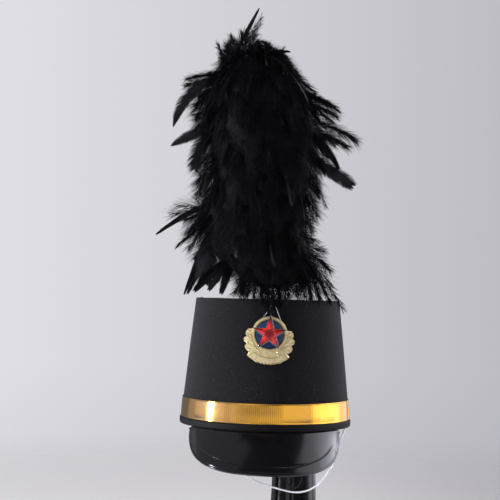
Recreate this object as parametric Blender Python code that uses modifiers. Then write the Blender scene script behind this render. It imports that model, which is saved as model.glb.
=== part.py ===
"""Shako hat with a feather plume, on a plain display stand.

Metres, +Z up, the hat's front towards -Y. The origin is on the surface under the stand, on the
axis of the hat. Run with: blender --background --python part.py
"""
import math
import random
from collections import namedtuple

import bmesh
import bpy
from mathutils import Vector


def table(columns, *rows):
    """Rows of a table whose columns have names."""
    row_kind = namedtuple("Row", columns)
    return [row_kind(*values) for values in rows]


MM = 0.001
GAP = 0.3 * MM              # air between pieces that touch

# Whole object
COLLECTION = "shako_hat"
HEM_HEIGHT = 150 * MM       # underside of the hat's hem above the surface
OVAL = 1.05                 # head oval: front-to-back size over side-to-side size

# Crown, half widths from the axis to the side; heights above the hem's underside
WALL_THICK = 3.0 * MM
WALL_FOOT = 1.8 * MM
WALL_TOP = 143.4 * MM
RIBBON_LOW = 8.6 * MM
RIBBON_HIGH = 31.0 * MM
WALL_ROWS = table(
    "height half_width",
    (WALL_TOP, 82.4 * MM),
    (RIBBON_HIGH + GAP, 94.3 * MM),
    (RIBBON_LOW - GAP, 95.9 * MM),
    (WALL_FOOT, 96.0 * MM),
)
BAND_LEAN = 0.011           # fall of the hem and ribbon towards the back
TOP_LEAN = 0.038            # the same at the crown's top
RIM_ROUND = 1.3 * MM
TOP_THICK = 3.0 * MM
TOP_BELOW_RIM = 1.0 * MM
CROWN_STEPS = 48
CORNER_SHARE = 0.4          # the most of a side that one rounded corner may take

# Bands around the crown
HEM_LOW = 0.5 * MM
HEM_HIGH = 8.3 * MM
HEM_THICK = 2.0 * MM
HEM_ROUND = 0.7 * MM
RIBBON_THICK = 0.9 * MM

# Peak
PEAK_THICK = 2.2 * MM
PEAK_X = -0.5 * MM
PEAK_HALF_WIDTH = 83.4 * MM
PEAK_DROP = 40.8 * MM       # lowest point of the edge below the hem
PEAK_TILT = 0.023           # fall of the edge towards +X
PEAK_SQUARENESS = 3.7       # exponent of the edge seen from the front
PEAK_END_EASE = 0.5 * MM    # keeps those ends a little forward of where the curve runs out
PEAK_BACK = 50.0 * MM       # where the edge's ends are, in front of the axis
PEAK_REACH = 93.0 * MM      # from there to the foremost point
PEAK_ROUNDNESS = 2.2        # exponent of the edge seen from above
PEAK_SPAN = math.radians(58.1)   # half the arc of crown that the peak is sewn into
PEAK_FROM_WALL = 0.4 * MM   # added to the gap between the flange and the wall
PEAK_END_HEADING = math.radians(86.5)    # of the edge's ends, from straight down
PEAK_FLANGE_RISE = 10.0 * MM
PEAK_UNDER_HEM = 0.3 * MM   # how far inside the hem's outer side the peak starts to fall
PEAK_BULGE = 0.08           # share of its width that it stands out, forward and up
PEAK_ACROSS = 30
PEAK_DOWN = 5

# Plume: stem, socket, wire
STEM_X = 4.7 * MM
STEM_Y = -93.9 * MM
PIN_RADIUS = 1.2 * MM       # the stem's bare lower end, in the socket
STEM_RADIUS = 2.1 * MM      # the wound part above the badge
STEM_LOW = 101.0 * MM
STEM_WOUND = 128.6 * MM
STEM_HIGH = 150.0 * MM
SOCKET_LOW = 100.0 * MM
SOCKET_HIGH = 116.0 * MM
SOCKET_WALL = 0.7 * MM
WIRE_RADIUS = 0.5 * MM
WIRE_ROWS = (               # the upturned V, from behind the badge and back: x, y and height
    (-6.8, -93.2, 123.5),
    (-3.4, -94.0, 128.5),
    (0.4, -95.6, 134.0),
    (4.6, -97.0, 142.0),
    (8.4, -96.4, 138.6),
    (11.4, -94.6, 131.5),
    (14.8, -93.2, 123.5),
)                           # in millimetres

# Plume: the mass of feathers, a row for each height above the hem
PLUME_ROWS = table(
    "height centre_x centre_y half_width half_depth",
    (150.0, 5, -92, 9, 9),
    (158.0, 4, -90, 32, 26),
    (172.0, 6, -86, 47, 38),
    (190.0, -6, -82, 58, 46),
    (205.0, -16, -78, 63, 50),
    (230.0, -18, -76, 66, 54),
    (256.0, -14, -74, 69, 56),
    (292.0, -11, -74, 68, 57),
    (330.0, -14, -74, 73, 57),
    (348.0, -17, -74, 69, 56),
    (367.0, -15, -74, 65, 54),
    (385.0, -16, -75, 56, 50),
    (403.0, -18, -75, 44, 42),
    (413.0, -20, -75, 37, 34),
    (422.0, -23, -75, 31, 28),
    (432.0, -27, -75, 19, 18),
    (441.0, -29, -75, 8, 8),
)                           # in millimetres
HEAD_SHARE = 0.88           # the solid head's share of that mass; locks fill the rest
HEAD_BELOW_TOP = 13         # the head stops this far below the mass
HEAD_SIDES = 18
HEAD_RINGS = 15
HEAD_LUMPS = table("turns share height", (3, 0.09, 21), (5, 0.05, -13))

# Plume: the long feathers that stand out; the root is where one leaves the mass
BLADE_ROWS = table(
    "tip_x tip_y tip_height root_x root_height width sag",
    (-18, -76, 468, -31, 438, 8, 0),
    (-10, -84, 462, -26, 438, 8, 1),
    (21, -88, 422, 4, 414, 12, 3),
    (-63, -60, 433, -54, 404, 10, 3),
    (-107, -48, 384, -67, 386, 23, 2),
    (-109, -94, 334, -76, 384, 14, 13),
    (-113, -62, 314, -72, 330, 20, 3),
    (-87, -104, 286, -69, 315, 22, 6),
    (-117, -72, 248, -74, 248, 24, 0),
    (-128, -86, 214, -76, 240, 8, 2),
    (-104, -102, 201, -71, 229, 8, 3),
    (-100, -46, 188, -69, 211, 22, 3),
    (-92, -92, 150, -68, 204, 10, 4),
    (-89, -66, 150, -62, 198, 10, 2),
    (-81, -106, 153, -53, 200, 24, 1),
    (-69, -56, 153, -47, 190, 13, 1),
    (-51, -98, 151, -39, 184, 14, 0),
    (-38, -60, 156, -30, 180, 13, 0),
    (61, -50, 368, 34, 376, 20, 2),
    (86, -98, 351, 45, 357, 20, 2),
    (105, -66, 322, 52, 335, 22, 3),
    (75, -108, 290, 53, 317, 12, 3),
    (92, -86, 272, 52, 298, 18, 2),
    (64, -106, 245, 47, 276, 8, 1),
    (54, -50, 213, 41, 244, 24, 4),
    (68, -110, 206, 40, 206, 24, 3),
    (78, -60, 163, 45, 193, 24, 4),
    (86, -108, 137, 50, 173, 18, 3),
    (72, -114, 143, 44, 173, 16, 2),
    (61, -115, 125, 30, 172, 14, 4),
    (37, -118, 122, 16, 168, 14, 4),
    (14, -116, 138, 8, 168, 13, 4),
    (-30, -12, 250, -24, 290, 24, 6),
    (10, -14, 200, 4, 236, 24, 6),
    (-20, -8, 350, -16, 350, 24, 8),
    (-10, -138, 262, -10, 290, 22, 6),
    (-28, -136, 330, -22, 340, 22, 6),
)                           # in millimetres
LOCK_HEART = 0.45           # a lock starts this share of the way from the plume's axis to its root
LOCK_ROOT = 0.8             # where a short lock leaves the mass, as a share of its half width
LOCK_SHARES = (0.6, 1.0, 0.8)    # of a lock's full width, at its start, its root and halfway out
LOCK_COUNT = 88             # shorter locks between the long ones
LOCK_WIDTH = 22.0 * MM
LOCK_FLATNESS = 0.34        # a lock's thickness over its width
LOCK_FLOOR = 153.0 * MM     # their tips stay above the crown's rim
LOCK_HEIGHTS = (162, 416)   # of the lowest lock and the highest, in millimetres
START_HEIGHTS = (166, 400)  # the same for where on the axis they start
LOCK_FAN = 50 * MM          # how much further the top locks rise than the bottom ones
LOCK_LEVEL = 0.7            # share of the height where they stand straight out
LOCK_TIPS = (1.0, 1.14)     # how far out the short locks reach, as shares of the half width
LOCK_SIZES = (0.8, 1.15)    # of their width
LOCK_SAGS = (1.0, 3.0)      # of their bow, in millimetres
LOCK_TURN = 0.2             # how far they stray round the head, in radians
LOCK_STRAY = 8.0            # and up or down at the tip, in millimetres
GOLDEN_TURN = math.radians(137.508)

# Badge: its own x and z from the ring's centre, pressed forward in layers
BADGE_X = 2.7 * MM
BADGE_HEIGHT = 108.4 * MM
BADGE_BACK_Y = -97.3 * MM
BADGE_ROLL = math.radians(2.4)
BADGE_LEAN = math.radians(-6.0)
BADGE_BEND = 80.0 * MM      # radius of its bend about the upright axis
RING_OUTER = 19.4 * MM
RING_INNER = 16.4 * MM
PLATE_THICK = 1.1 * MM
RING_RAISE = 0.9 * MM
RING_SLOPE = 0.3 * MM       # width of the ring's sloping sides
WREATH_EDGE = 0.8 * MM      # thickness at the casting's edge
ENAMEL_THICK = 0.5 * MM
ENAMEL_RADIUS = 15.9 * MM
ENAMEL_SIDES = 32
STAR_RADIUS = 18.5 * MM
STAR_RISE = 0.8 * MM        # of its centre above the ring's
STAR_WAIST = 0.405          # inner corners' share of the radius
STAR_MIDDLE = 0.28          # the flat middle's share on the arms
STAR_MIDDLE_WAIST = 0.345   # and that of its corners, between the arms
STAR_EDGE = 0.5 * MM
STAR_GAP = 0.4 * MM
STAR_CREST = 2.0 * MM
WREATH_ROWS = table(        # one side; degrees from straight down, mm from the centre
    "angle reach crest sweep",
    (0, 32.9, 2.0, 0),
    (10, 33.4, 2.0, 0),
    (18, 33.9, 2.0, 0),
    (31, 33.3, 2.0, 0),
    (44, 33.5, 2.0, 0),
    (46, 29.9, 1.1, 3),
    (54, 30.5, 2.1, 9),
    (62, 30.1, 1.5, 13),
    (66, 27.3, 1.0, 14),
    (73, 29.3, 2.1, 16),
    (80, 28.3, 1.5, 17),
    (84, 25.7, 1.0, 17),
    (91, 26.7, 2.0, 16),
    (98, 25.5, 1.5, 13),
    (103, 24.0, 1.2, 9),
    (107, 19.6, 0.8, 3),
    (121, 19.6, 0.8, 0),
    (136, 19.6, 0.8, 0),
    (151, 19.6, 0.8, 0),
    (166, 19.6, 0.8, 0),
    (180, 19.6, 0.8, 0),
)
WREATH_OUTWARD = table(     # shares of the way out from the ring and of the crest's height
    "out share",
    (0.0, 0.0),
    (0.12, 0.9),
    (0.62, 1.0),
    (0.94, 0.5),
    (1.0, 0.0),
)

# Chin cord: x, y and height of its route, from the right side down, round and up to the left
CORD_RADIUS = 1.0 * MM
CORD_ROUTE = (
    (91.2, -25.0, 1.0),
    (89.0, -28.6, -5.6),
    (85.8, -33.0, -13.0),
    (82.6, -38.0, -28.0),
    (75.0, -43.5, -43.5),
    (67.5, -45.8, -55.0),
    (58.3, -46.4, -64.2),
    (47.6, -46.4, -69.8),
    (35.0, -46.2, -71.5),
    (22.0, -46.0, -69.3),
    (9.0, -45.8, -66.0),
    (-4.0, -45.4, -62.2),
    (-16.5, -44.2, -56.6),
    (-30.0, -43.2, -49.4),
    (-44.0, -42.2, -41.0),
    (-57.5, -41.6, -32.0),
    (-69.0, -41.6, -22.4),
    (-77.6, -43.2, -12.0),
    (-81.8, -45.4, -4.0),
    (-83.0, -47.0, 1.0),
)                           # in millimetres
CORD_SPACING = 2.6          # diameters between the points of the finished line
CURVE_STEPS = 24            # fine steps between two points of a route, before they are spaced

# Stand
COLUMN_X = 34.8 * MM        # the column stands right of the hat's axis
COLUMN_FOOT_RADIUS = 27.7 * MM
COLUMN_TAPER = 0.03         # loss of radius with height
COLUMN_ROUND = 0.6 * MM
FOOT_RADIUS = 105.0 * MM
FOOT_THICK = 6.0 * MM
HEAD_RADIUS = 38.0 * MM
HEAD_THICK = 8.0 * MM
STAND_ROUND = 2.0 * MM
STAND_STEPS = 32
RACK_WIDTH = 7.0 * MM
RACK_DEPTH = 2.6 * MM
RACK_INSET = 2.0 * MM       # from the column's ends
RACK_TURN = math.radians(213)    # where on the column it is, from +X

TOP_OF_DISC = WALL_TOP - TOP_BELOW_RIM
UNDER_DISC = TOP_OF_DISC - TOP_THICK


def remove_all():
    for thing in list(bpy.data.objects):
        bpy.data.objects.remove(thing, do_unlink=True)


def new_collection(name):
    found = bpy.data.collections.new(name)
    bpy.context.scene.collection.children.link(found)
    return found


def material(name, colour, roughness, metallic=0.0):
    made = bpy.data.materials.new(name)
    made.use_nodes = True
    shader = made.node_tree.nodes["Principled BSDF"]
    shader.inputs["Base Color"].default_value = (*colour, 1.0)
    shader.inputs["Roughness"].default_value = roughness
    shader.inputs["Metallic"].default_value = metallic
    made.diffuse_color = (*colour, 1.0)
    return made


def placed(name, data, look=None, parent=None, collection=None):
    thing = bpy.data.objects.new(name, data)
    (collection or parts).objects.link(thing)
    thing.parent = parent
    if look:
        data.materials.append(look)
    return thing


def smooth(mesh, angle=math.radians(40)):
    mesh.shade_smooth()
    mesh.set_sharp_from_angle(angle=angle)


def mesh_from(name, bm):
    bmesh.ops.recalc_face_normals(bm, faces=bm.faces)
    mesh = bpy.data.meshes.new(name)
    bm.to_mesh(mesh)
    bm.free()
    return mesh


def between(rows, height, column):
    """Value of a named column of a table at a height, straight between its rows."""
    ordered = sorted(rows)
    height = max(ordered[0].height, min(height, ordered[-1].height))
    for low, high in zip(ordered, ordered[1:]):
        if height <= high.height:
            share = (height - low.height) / (high.height - low.height)
            return getattr(low, column) * (1 - share) + getattr(high, column) * share


def rounded(corners, radius, steps=2):
    """A closed outline of (r, z) with each corner rounded by a few points."""
    points = []
    for i, corner in enumerate(corners):
        here = Vector(corner)
        before = Vector(corners[i - 1]) - here
        after = Vector(corners[(i + 1) % len(corners)]) - here
        reach = min(radius, before.length * CORNER_SHARE, after.length * CORNER_SHARE)
        start = here + before.normalized() * reach
        end = here + after.normalized() * reach
        for k in range(steps + 1):
            t = k / steps
            points.append(start * (1 - t) ** 2 + here * 2 * t * (1 - t) + end * t ** 2)
    return [tuple(p) for p in points]


def turned(name, outline, look, steps, oval=1.0, parent=None, closed=True):
    """A profile in the XZ plane turned about Z by a Screw modifier."""
    mesh = bpy.data.meshes.new(name)
    count = len(outline)
    edges = [(i, i + 1) for i in range(count - 1)]
    if closed:
        edges.append((count - 1, 0))
    mesh.from_pydata([(r, 0.0, z) for r, z in outline], edges, [])
    thing = placed(name, mesh, look, parent)
    thing.scale.y = oval
    screw = thing.modifiers.new("turn", "SCREW")
    screw.steps = screw.render_steps = steps
    screw.use_merge_vertices = True
    screw.merge_threshold = 0.01 * MM
    screw.use_smooth_shade = True
    return thing


def disc_profile(radius, low, high, edge, steps=2):
    """Half section of a disc with rounded edges, from its top centre to its bottom centre."""
    rim = rounded([(0.0, high), (radius, high), (radius, low), (0.0, low)], edge, steps)
    return [(0.0, high)] + [p for p in rim if p[0] > radius * 0.5] + [(0.0, low)]


def tube(name, points, radius, look, resolution=2, parent=None):
    """A round wire along a POLY spline, with closed ends."""
    curve = bpy.data.curves.new(name, "CURVE")
    curve.dimensions = "3D"
    curve.bevel_depth = radius
    curve.bevel_resolution = resolution
    curve.use_fill_caps = True
    spline = curve.splines.new("POLY")
    spline.points.add(len(points) - 1)
    for point, place in zip(spline.points, points):
        point.co = (*place, 1.0)
    return placed(name, curve, look, parent)


def catmull(points, spacing):
    """Points at an even spacing on a smooth curve through the given ones."""
    ends = [points[0] * 2 - points[1]] + list(points) + [points[-1] * 2 - points[-2]]
    fine = []
    for a, b, c, d in zip(ends, ends[1:], ends[2:], ends[3:]):
        for k in range(CURVE_STEPS):
            t = k / CURVE_STEPS
            fine.append(0.5 * (2 * b + (c - a) * t + (2 * a - 5 * b + 4 * c - d) * t ** 2
                               + (3 * b - a - 3 * c + d) * t ** 3))
    fine.append(points[-1])
    travelled = [0.0]
    for p, q in zip(fine, fine[1:]):
        travelled.append(travelled[-1] + (q - p).length)
    count = max(2, round(travelled[-1] / spacing))
    even, at = [], 0
    for k in range(count + 1):
        goal = travelled[-1] * k / count
        while at < len(fine) - 2 and travelled[at + 1] < goal:
            at += 1
        step = travelled[at + 1] - travelled[at]
        even.append(fine[at].lerp(fine[at + 1], (goal - travelled[at]) / step))
    return even


def wall_half_width(height):
    return between(WALL_ROWS, height, "half_width")


def leaned(thing):
    """Makes a turned piece's mesh final and lowers it towards the back, most at the top."""
    graph = bpy.context.evaluated_depsgraph_get()
    thing.data = bpy.data.meshes.new_from_object(thing.evaluated_get(graph))
    thing.modifiers.clear()
    for vert in thing.data.vertices:
        share = max(0.0, (vert.co.z - RIBBON_HIGH) / (WALL_TOP - RIBBON_HIGH))
        vert.co.z -= (BAND_LEAN + (TOP_LEAN - BAND_LEAN) * share) * vert.co.y * OVAL
    return thing


def crown_wall(look, hat):
    outer = [(row.half_width, row.height) for row in WALL_ROWS]
    inner = [(row.half_width - WALL_THICK, row.height) for row in reversed(WALL_ROWS)]
    rim_in, rim_out = inner[-1], outer[0]
    rim = rounded([inner[-2], rim_in, rim_out, outer[1]], RIM_ROUND, 2)[3:9]
    outline = rim[3:] + outer[1:] + inner[:-1] + rim[:3]
    return leaned(turned("crown_wall", outline, look, CROWN_STEPS, OVAL, hat))


def crown_top(look, hat):
    radius = wall_half_width(TOP_OF_DISC) - WALL_THICK - GAP
    outline = [(0.0, TOP_OF_DISC), (radius, TOP_OF_DISC), (radius, UNDER_DISC), (0.0, UNDER_DISC)]
    return leaned(turned("crown_top", outline, look, CROWN_STEPS, OVAL, hat, closed=False))


def hem_band(look, hat):
    inner = wall_half_width(WALL_FOOT) + GAP
    outer = inner + HEM_THICK
    section = [(outer - HEM_ROUND, HEM_HIGH), (outer, HEM_HIGH - HEM_ROUND),
               (outer, HEM_LOW + HEM_ROUND), (outer - HEM_ROUND, HEM_LOW),
               (inner, HEM_LOW), (inner, HEM_HIGH)]
    return leaned(turned("hem_band", section, look, CROWN_STEPS, OVAL, hat))


def gold_band(look, hat):
    low = wall_half_width(RIBBON_LOW) + GAP
    high = wall_half_width(RIBBON_HIGH) + GAP
    section = [(high + RIBBON_THICK, RIBBON_HIGH), (low + RIBBON_THICK, RIBBON_LOW),
               (low, RIBBON_LOW), (high, RIBBON_HIGH)]
    return leaned(turned("gold_band", section, look, CROWN_STEPS, OVAL, hat))


def peak_edge(side):
    """Point on the peak's outer edge, side running from -1 to 1."""
    heading = side * PEAK_END_HEADING
    power = PEAK_SQUARENESS
    reach = (abs(math.sin(heading)) / PEAK_HALF_WIDTH) ** power
    reach = (reach + (abs(math.cos(heading)) / PEAK_DROP) ** power) ** (-1 / power)
    x, drop = reach * math.sin(heading), reach * math.cos(heading)
    spread = min(1.0, abs(x) / (PEAK_HALF_WIDTH + PEAK_END_EASE))
    forward = PEAK_BACK + PEAK_REACH * (1 - spread ** PEAK_ROUNDNESS) ** (1 / PEAK_ROUNDNESS)
    return Vector((PEAK_X + x, -forward, -drop - PEAK_TILT * x))


def under_hem(side, half):
    """Point of the peak's middle surface where it lies flat under the hem."""
    turn = side * PEAK_SPAN
    y = -half * OVAL * math.cos(turn)
    return Vector((half * math.sin(turn), y, HEM_LOW - GAP - PEAK_THICK / 2 - BAND_LEAN * y))


def peak_point(side, down):
    """Point of the peak's middle surface: down 0 is the flange's top, 1 the outer edge."""
    foot = wall_half_width(WALL_FOOT)
    sewn = under_hem(side, foot - WALL_THICK - GAP - PEAK_THICK / 2 - PEAK_FROM_WALL)
    brow = under_hem(side, foot + HEM_THICK - PEAK_UNDER_HEM)
    row = down * (PEAK_DOWN + 2)
    if row < 1:
        return sewn + Vector((0, 0, PEAK_FLANGE_RISE * (1 - row)))
    if row < 2:
        return sewn.lerp(brow, row - 1)
    share = (row - 2) / PEAK_DOWN
    edge = peak_edge(side)
    outward = Vector((edge.x, edge.y, 0)).normalized()
    middle = (brow + edge) / 2 + (outward + Vector((0, 0, 1))) * (edge - brow).length * PEAK_BULGE
    return brow * (1 - share) ** 2 + middle * 2 * share * (1 - share) + edge * share ** 2


def peak(look, hat):
    bm = bmesh.new()
    bmesh.ops.create_grid(bm, x_segments=PEAK_ACROSS, y_segments=PEAK_DOWN + 2, size=1.0)
    for vert in bm.verts:
        vert.co = peak_point(vert.co.x, (1 - vert.co.y) / 2)
    mesh = bpy.data.meshes.new("peak")
    bm.to_mesh(mesh)
    bm.free()
    thing = placed("peak", mesh, look, hat)
    shell = thing.modifiers.new("thickness", "SOLIDIFY")
    shell.thickness = PEAK_THICK
    shell.offset = 0.0
    smooth(mesh)
    return thing


def plume_socket(look, hat):
    bore = PIN_RADIUS + GAP
    section = [(bore + SOCKET_WALL, SOCKET_HIGH), (bore + SOCKET_WALL, SOCKET_LOW),
               (bore, SOCKET_LOW), (bore, SOCKET_HIGH)]
    thing = turned("plume_socket", section, look, 16, parent=hat)
    thing.location = (STEM_X, STEM_Y, 0)
    return thing


def plume_stem(look, hat):
    section = [(0.0, STEM_HIGH), (STEM_RADIUS, STEM_HIGH), (STEM_RADIUS, STEM_WOUND),
               (PIN_RADIUS, STEM_WOUND), (PIN_RADIUS, STEM_LOW), (0.0, STEM_LOW)]
    thing = turned("plume_stem", section, look, 12, parent=hat, closed=False)
    thing.location = (STEM_X, STEM_Y, 0)
    return thing


def plume_wire(look, hat):
    route = [Vector(place) * MM for place in WIRE_ROWS]
    return tube("plume_wire", catmull(route, 5 * WIRE_RADIUS), WIRE_RADIUS, look, 1, hat)


def plume_centre(height):
    """Centre of the feathers at a height in millimetres."""
    return Vector((between(PLUME_ROWS, height, "centre_x"),
                   between(PLUME_ROWS, height, "centre_y"), height)) * MM


def plume_out(height, around):
    """From that centre out to the side of the mass."""
    return Vector((math.cos(around) * between(PLUME_ROWS, height, "half_width"),
                   math.sin(around) * between(PLUME_ROWS, height, "half_depth"), 0)) * MM


def head_mesh():
    """The plume's solid head: a sphere's grid wrapped on the table of heights."""
    bm = bmesh.new()
    bmesh.ops.create_uvsphere(bm, u_segments=HEAD_SIDES, v_segments=HEAD_RINGS, radius=1.0)
    low, high = PLUME_ROWS[0].height, PLUME_ROWS[-1].height - HEAD_BELOW_TOP
    for vert in bm.verts:
        climb = 0.5 + math.asin(max(-1.0, min(1.0, vert.co.z))) / math.pi
        height = low + climb * (high - low)
        around = math.atan2(vert.co.y, vert.co.x)
        lump = 1 + sum(wave.share * math.sin(wave.turns * around + height / wave.height)
                       for wave in HEAD_LUMPS)
        at_pole = math.hypot(vert.co.x, vert.co.y) < 0.01
        vert.co = plume_centre(height) + plume_out(height, around) * (0 if at_pole else HEAD_SHARE * lump)
    return mesh_from("plume_head", bm)


def lock(bm, root, tip, width, sag):
    """One lock of feathers: a flat pointed blade from inside the head by way of its root to its tip."""
    lowest, highest = START_HEIGHTS
    start = plume_centre(max(lowest, min(root.z / MM, highest))).lerp(root, LOCK_HEART)
    line = (tip - root).normalized()
    bow = (Vector((0, 0, 1)) - line * line.z).normalized()
    middle = (root + tip) / 2 + bow * sag
    faces_front = abs(line.y) < 0.5
    across = line.cross(Vector((0, -1, 0) if faces_front else (0, 0, 1))).normalized()
    points, rings = (start, root, middle, tip), []
    for point, after, share in zip(points, points[1:], LOCK_SHARES):
        half = across * width / 2 * share
        thin = across.cross(after - point).normalized() * half.length * LOCK_FLATNESS
        rings.append([bm.verts.new(point + corner) for corner in (half, thin, -half, -thin)])
    for lower, upper in zip(rings, rings[1:]):
        for i in range(4):
            bm.faces.new((lower[i - 1], lower[i], upper[i], upper[i - 1]))
    point = bm.verts.new(tip)
    for i in range(4):
        bm.faces.new((rings[-1][i - 1], rings[-1][i], point))
    bm.faces.new(list(reversed(rings[0])))


def small_locks(bm):
    """The shorter locks, spaced by the golden angle up the head and fanned with height."""
    draw = random.Random(7)
    low, high = LOCK_HEIGHTS
    for i in range(LOCK_COUNT):
        share = (i + 0.5) / LOCK_COUNT
        height = low + (high - low) * share
        out = plume_out(height, i * GOLDEN_TURN + draw.uniform(-LOCK_TURN, LOCK_TURN))
        lift = (share - LOCK_LEVEL) * LOCK_FAN + draw.uniform(-LOCK_STRAY, LOCK_STRAY) * MM
        root = plume_centre(height) + out * LOCK_ROOT
        tip = plume_centre(height) + out * draw.uniform(*LOCK_TIPS) + Vector((0, 0, lift))
        tip.z = max(tip.z, LOCK_FLOOR)
        lock(bm, root, tip, LOCK_WIDTH * draw.uniform(*LOCK_SIZES), draw.uniform(*LOCK_SAGS) * MM)


def long_locks(bm):
    for blade in BLADE_ROWS:
        tip = Vector((blade.tip_x, blade.tip_y, blade.tip_height)) * MM
        root_y = (between(PLUME_ROWS, blade.root_height, "centre_y") + blade.tip_y) / 2
        root = Vector((blade.root_x, root_y, blade.root_height)) * MM
        lock(bm, root, tip, blade.width * MM, blade.sag * MM)


def plume_feathers(look, hat):
    bm = bmesh.new()
    long_locks(bm)
    small_locks(bm)
    locks = placed("plume_locks", mesh_from("plume_locks", bm), None, hat, cutters)
    thing = placed("plume_feathers", head_mesh(), look, hat)
    fuse(thing, locks)
    return thing


def fuse(thing, other):
    """Joins another object's solids to this one by a Boolean union."""
    other.hide_render = True
    other.display_type = "WIRE"
    union = thing.modifiers.new("fuse", "BOOLEAN")
    union.operation = "UNION"
    union.solver = "EXACT"
    union.use_self = True
    union.object = other


def relief(columns, rows, place, back=0.0):
    """A closed casting from a grid: place(column, row) gives its front, the back is flat."""
    bm = bmesh.new()
    bmesh.ops.create_grid(bm, x_segments=columns, y_segments=rows, size=1.0)
    for vert in bm.verts:
        column, row = round((vert.co.x + 1) / 2 * columns), round((vert.co.y + 1) / 2 * rows)
        vert.co = place(column, row)
    bmesh.ops.remove_doubles(bm, verts=bm.verts, dist=0.01 * MM)
    grown = bmesh.ops.extrude_face_region(bm, geom=bm.faces[:])
    for item in grown["geom"]:
        if isinstance(item, bmesh.types.BMVert):
            item.co.y = -back
    return bm


def bend_badge(bm):
    """Bends flat badge work round the upright axis, as the crown's front bends."""
    for vert in bm.verts:
        turn = vert.co.x / BADGE_BEND
        radius = BADGE_BEND - vert.co.y
        vert.co.x = radius * math.sin(turn)
        vert.co.y = BADGE_BEND - radius * math.cos(turn)


def on_badge(name, bm, look, badge):
    bend_badge(bm)
    return placed(name, mesh_from(name, bm), look, badge)


def polar(angle, reach, depth):
    """A point of the badge at an angle in degrees from straight down, towards +X."""
    turn = math.radians(angle)
    return Vector((reach * math.sin(turn), -depth, -reach * math.cos(turn)))


def wreath_point(column, row):
    """Front of the gold casting: ring, leaves that sweep up and out, plain scroll below."""
    side = -1 if column < len(WREATH_ROWS) - 1 else 1
    angle, reach, crest, sweep = WREATH_ROWS[abs(column - len(WREATH_ROWS) + 1)]
    ring_rows = ((0.0, PLATE_THICK), (RING_INNER, PLATE_THICK),
                 (RING_INNER + RING_SLOPE, PLATE_THICK + RING_RAISE),
                 (RING_OUTER - RING_SLOPE, PLATE_THICK + RING_RAISE))
    if row < len(ring_rows):
        return polar(side * (angle - sweep), *ring_rows[row])
    out, share = WREATH_OUTWARD[row - len(ring_rows)]
    height = WREATH_EDGE + (crest * MM - WREATH_EDGE) * share
    return polar(side * (angle - sweep * (1 - out)), RING_OUTER + (reach * MM - RING_OUTER) * out, height)


def badge_wreath(look, badge):
    columns = 2 * (len(WREATH_ROWS) - 1)
    return on_badge("badge_wreath", relief(columns, 3 + len(WREATH_OUTWARD), wreath_point), look, badge)


def badge_enamel(look, badge):
    back = PLATE_THICK + GAP
    reaches = (0.0, 0.5, 1.0)

    def place(column, row):
        return polar(360 * column / ENAMEL_SIDES, reaches[row] * ENAMEL_RADIUS, back + ENAMEL_THICK)

    return on_badge("badge_enamel", relief(ENAMEL_SIDES, 2, place, back), look, badge)


def badge_star(look, badge):
    """Five-pointed star with a ridge along each arm and a flat five-sided middle."""
    back = PLATE_THICK + RING_RAISE + STAR_GAP

    def place(column, row):
        arm = column % 2 == 0
        reach = STAR_RADIUS * (1.0 if arm else STAR_WAIST)
        middle = STAR_RADIUS * (STAR_MIDDLE if arm else STAR_MIDDLE_WAIST)
        steps = ((0.0, STAR_CREST), (middle, STAR_CREST), (reach, STAR_EDGE))
        return polar(180 + 36 * column, steps[row][0], back + steps[row][1]) + Vector((0, 0, STAR_RISE))

    return on_badge("badge_star", relief(10, 2, place, back), look, badge)


def chin_cord(look, hat):
    route = [Vector(place) * MM for place in CORD_ROUTE]
    return tube("chin_cord", catmull(route, CORD_SPACING * 2 * CORD_RADIUS), CORD_RADIUS, look, 2, hat)


def column_radius(height):
    return COLUMN_FOOT_RADIUS - COLUMN_TAPER * height


def stand(look, teeth_look):
    column_low = FOOT_THICK + GAP
    column_high = HEM_HEIGHT + UNDER_DISC - HEAD_THICK - 2 * GAP - TOP_LEAN * HEAD_RADIUS
    foot = turned("stand_foot", disc_profile(FOOT_RADIUS, 0.0, FOOT_THICK, STAND_ROUND), look,
                  STAND_STEPS, closed=False)
    wide, narrow = column_radius(column_low), column_radius(column_high)
    section = [(0.0, column_high), (narrow - COLUMN_ROUND, column_high),
               (narrow, column_high - COLUMN_ROUND), (wide, column_low + COLUMN_ROUND),
               (wide - COLUMN_ROUND, column_low), (0.0, column_low)]
    column = turned("stand_column", section, look, STAND_STEPS, closed=False)
    head_low = column_high + GAP
    head = turned("stand_head", disc_profile(HEAD_RADIUS, head_low, head_low + HEAD_THICK, STAND_ROUND),
                  look, STAND_STEPS, closed=False)
    for thing in (foot, column, head):
        thing.location.x = COLUMN_X
    stand_rack(teeth_look, column_low + RACK_INSET, column_high - RACK_INSET)


def stand_rack(look, low, high):
    """The strip down the column's side that carries the height rack."""
    bm = bmesh.new()
    bmesh.ops.create_cube(bm, size=1.0)
    for vert in bm.verts:
        height = low + (vert.co.z + 0.5) * (high - low)
        out = column_radius(height) + GAP + RACK_DEPTH * (vert.co.x + 0.5)
        vert.co = (out, vert.co.y * RACK_WIDTH, height)
    thing = placed("stand_rack", mesh_from("stand_rack", bm), look)
    thing.location.x = COLUMN_X
    thing.rotation_euler.z = RACK_TURN


def empty(name, parent=None):
    thing = bpy.data.objects.new(name, None)
    parts.objects.link(thing)
    thing.parent = parent
    return thing


remove_all()
parts = new_collection(COLLECTION)
cutters = new_collection("cutters")
cutters.hide_render = True

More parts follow.
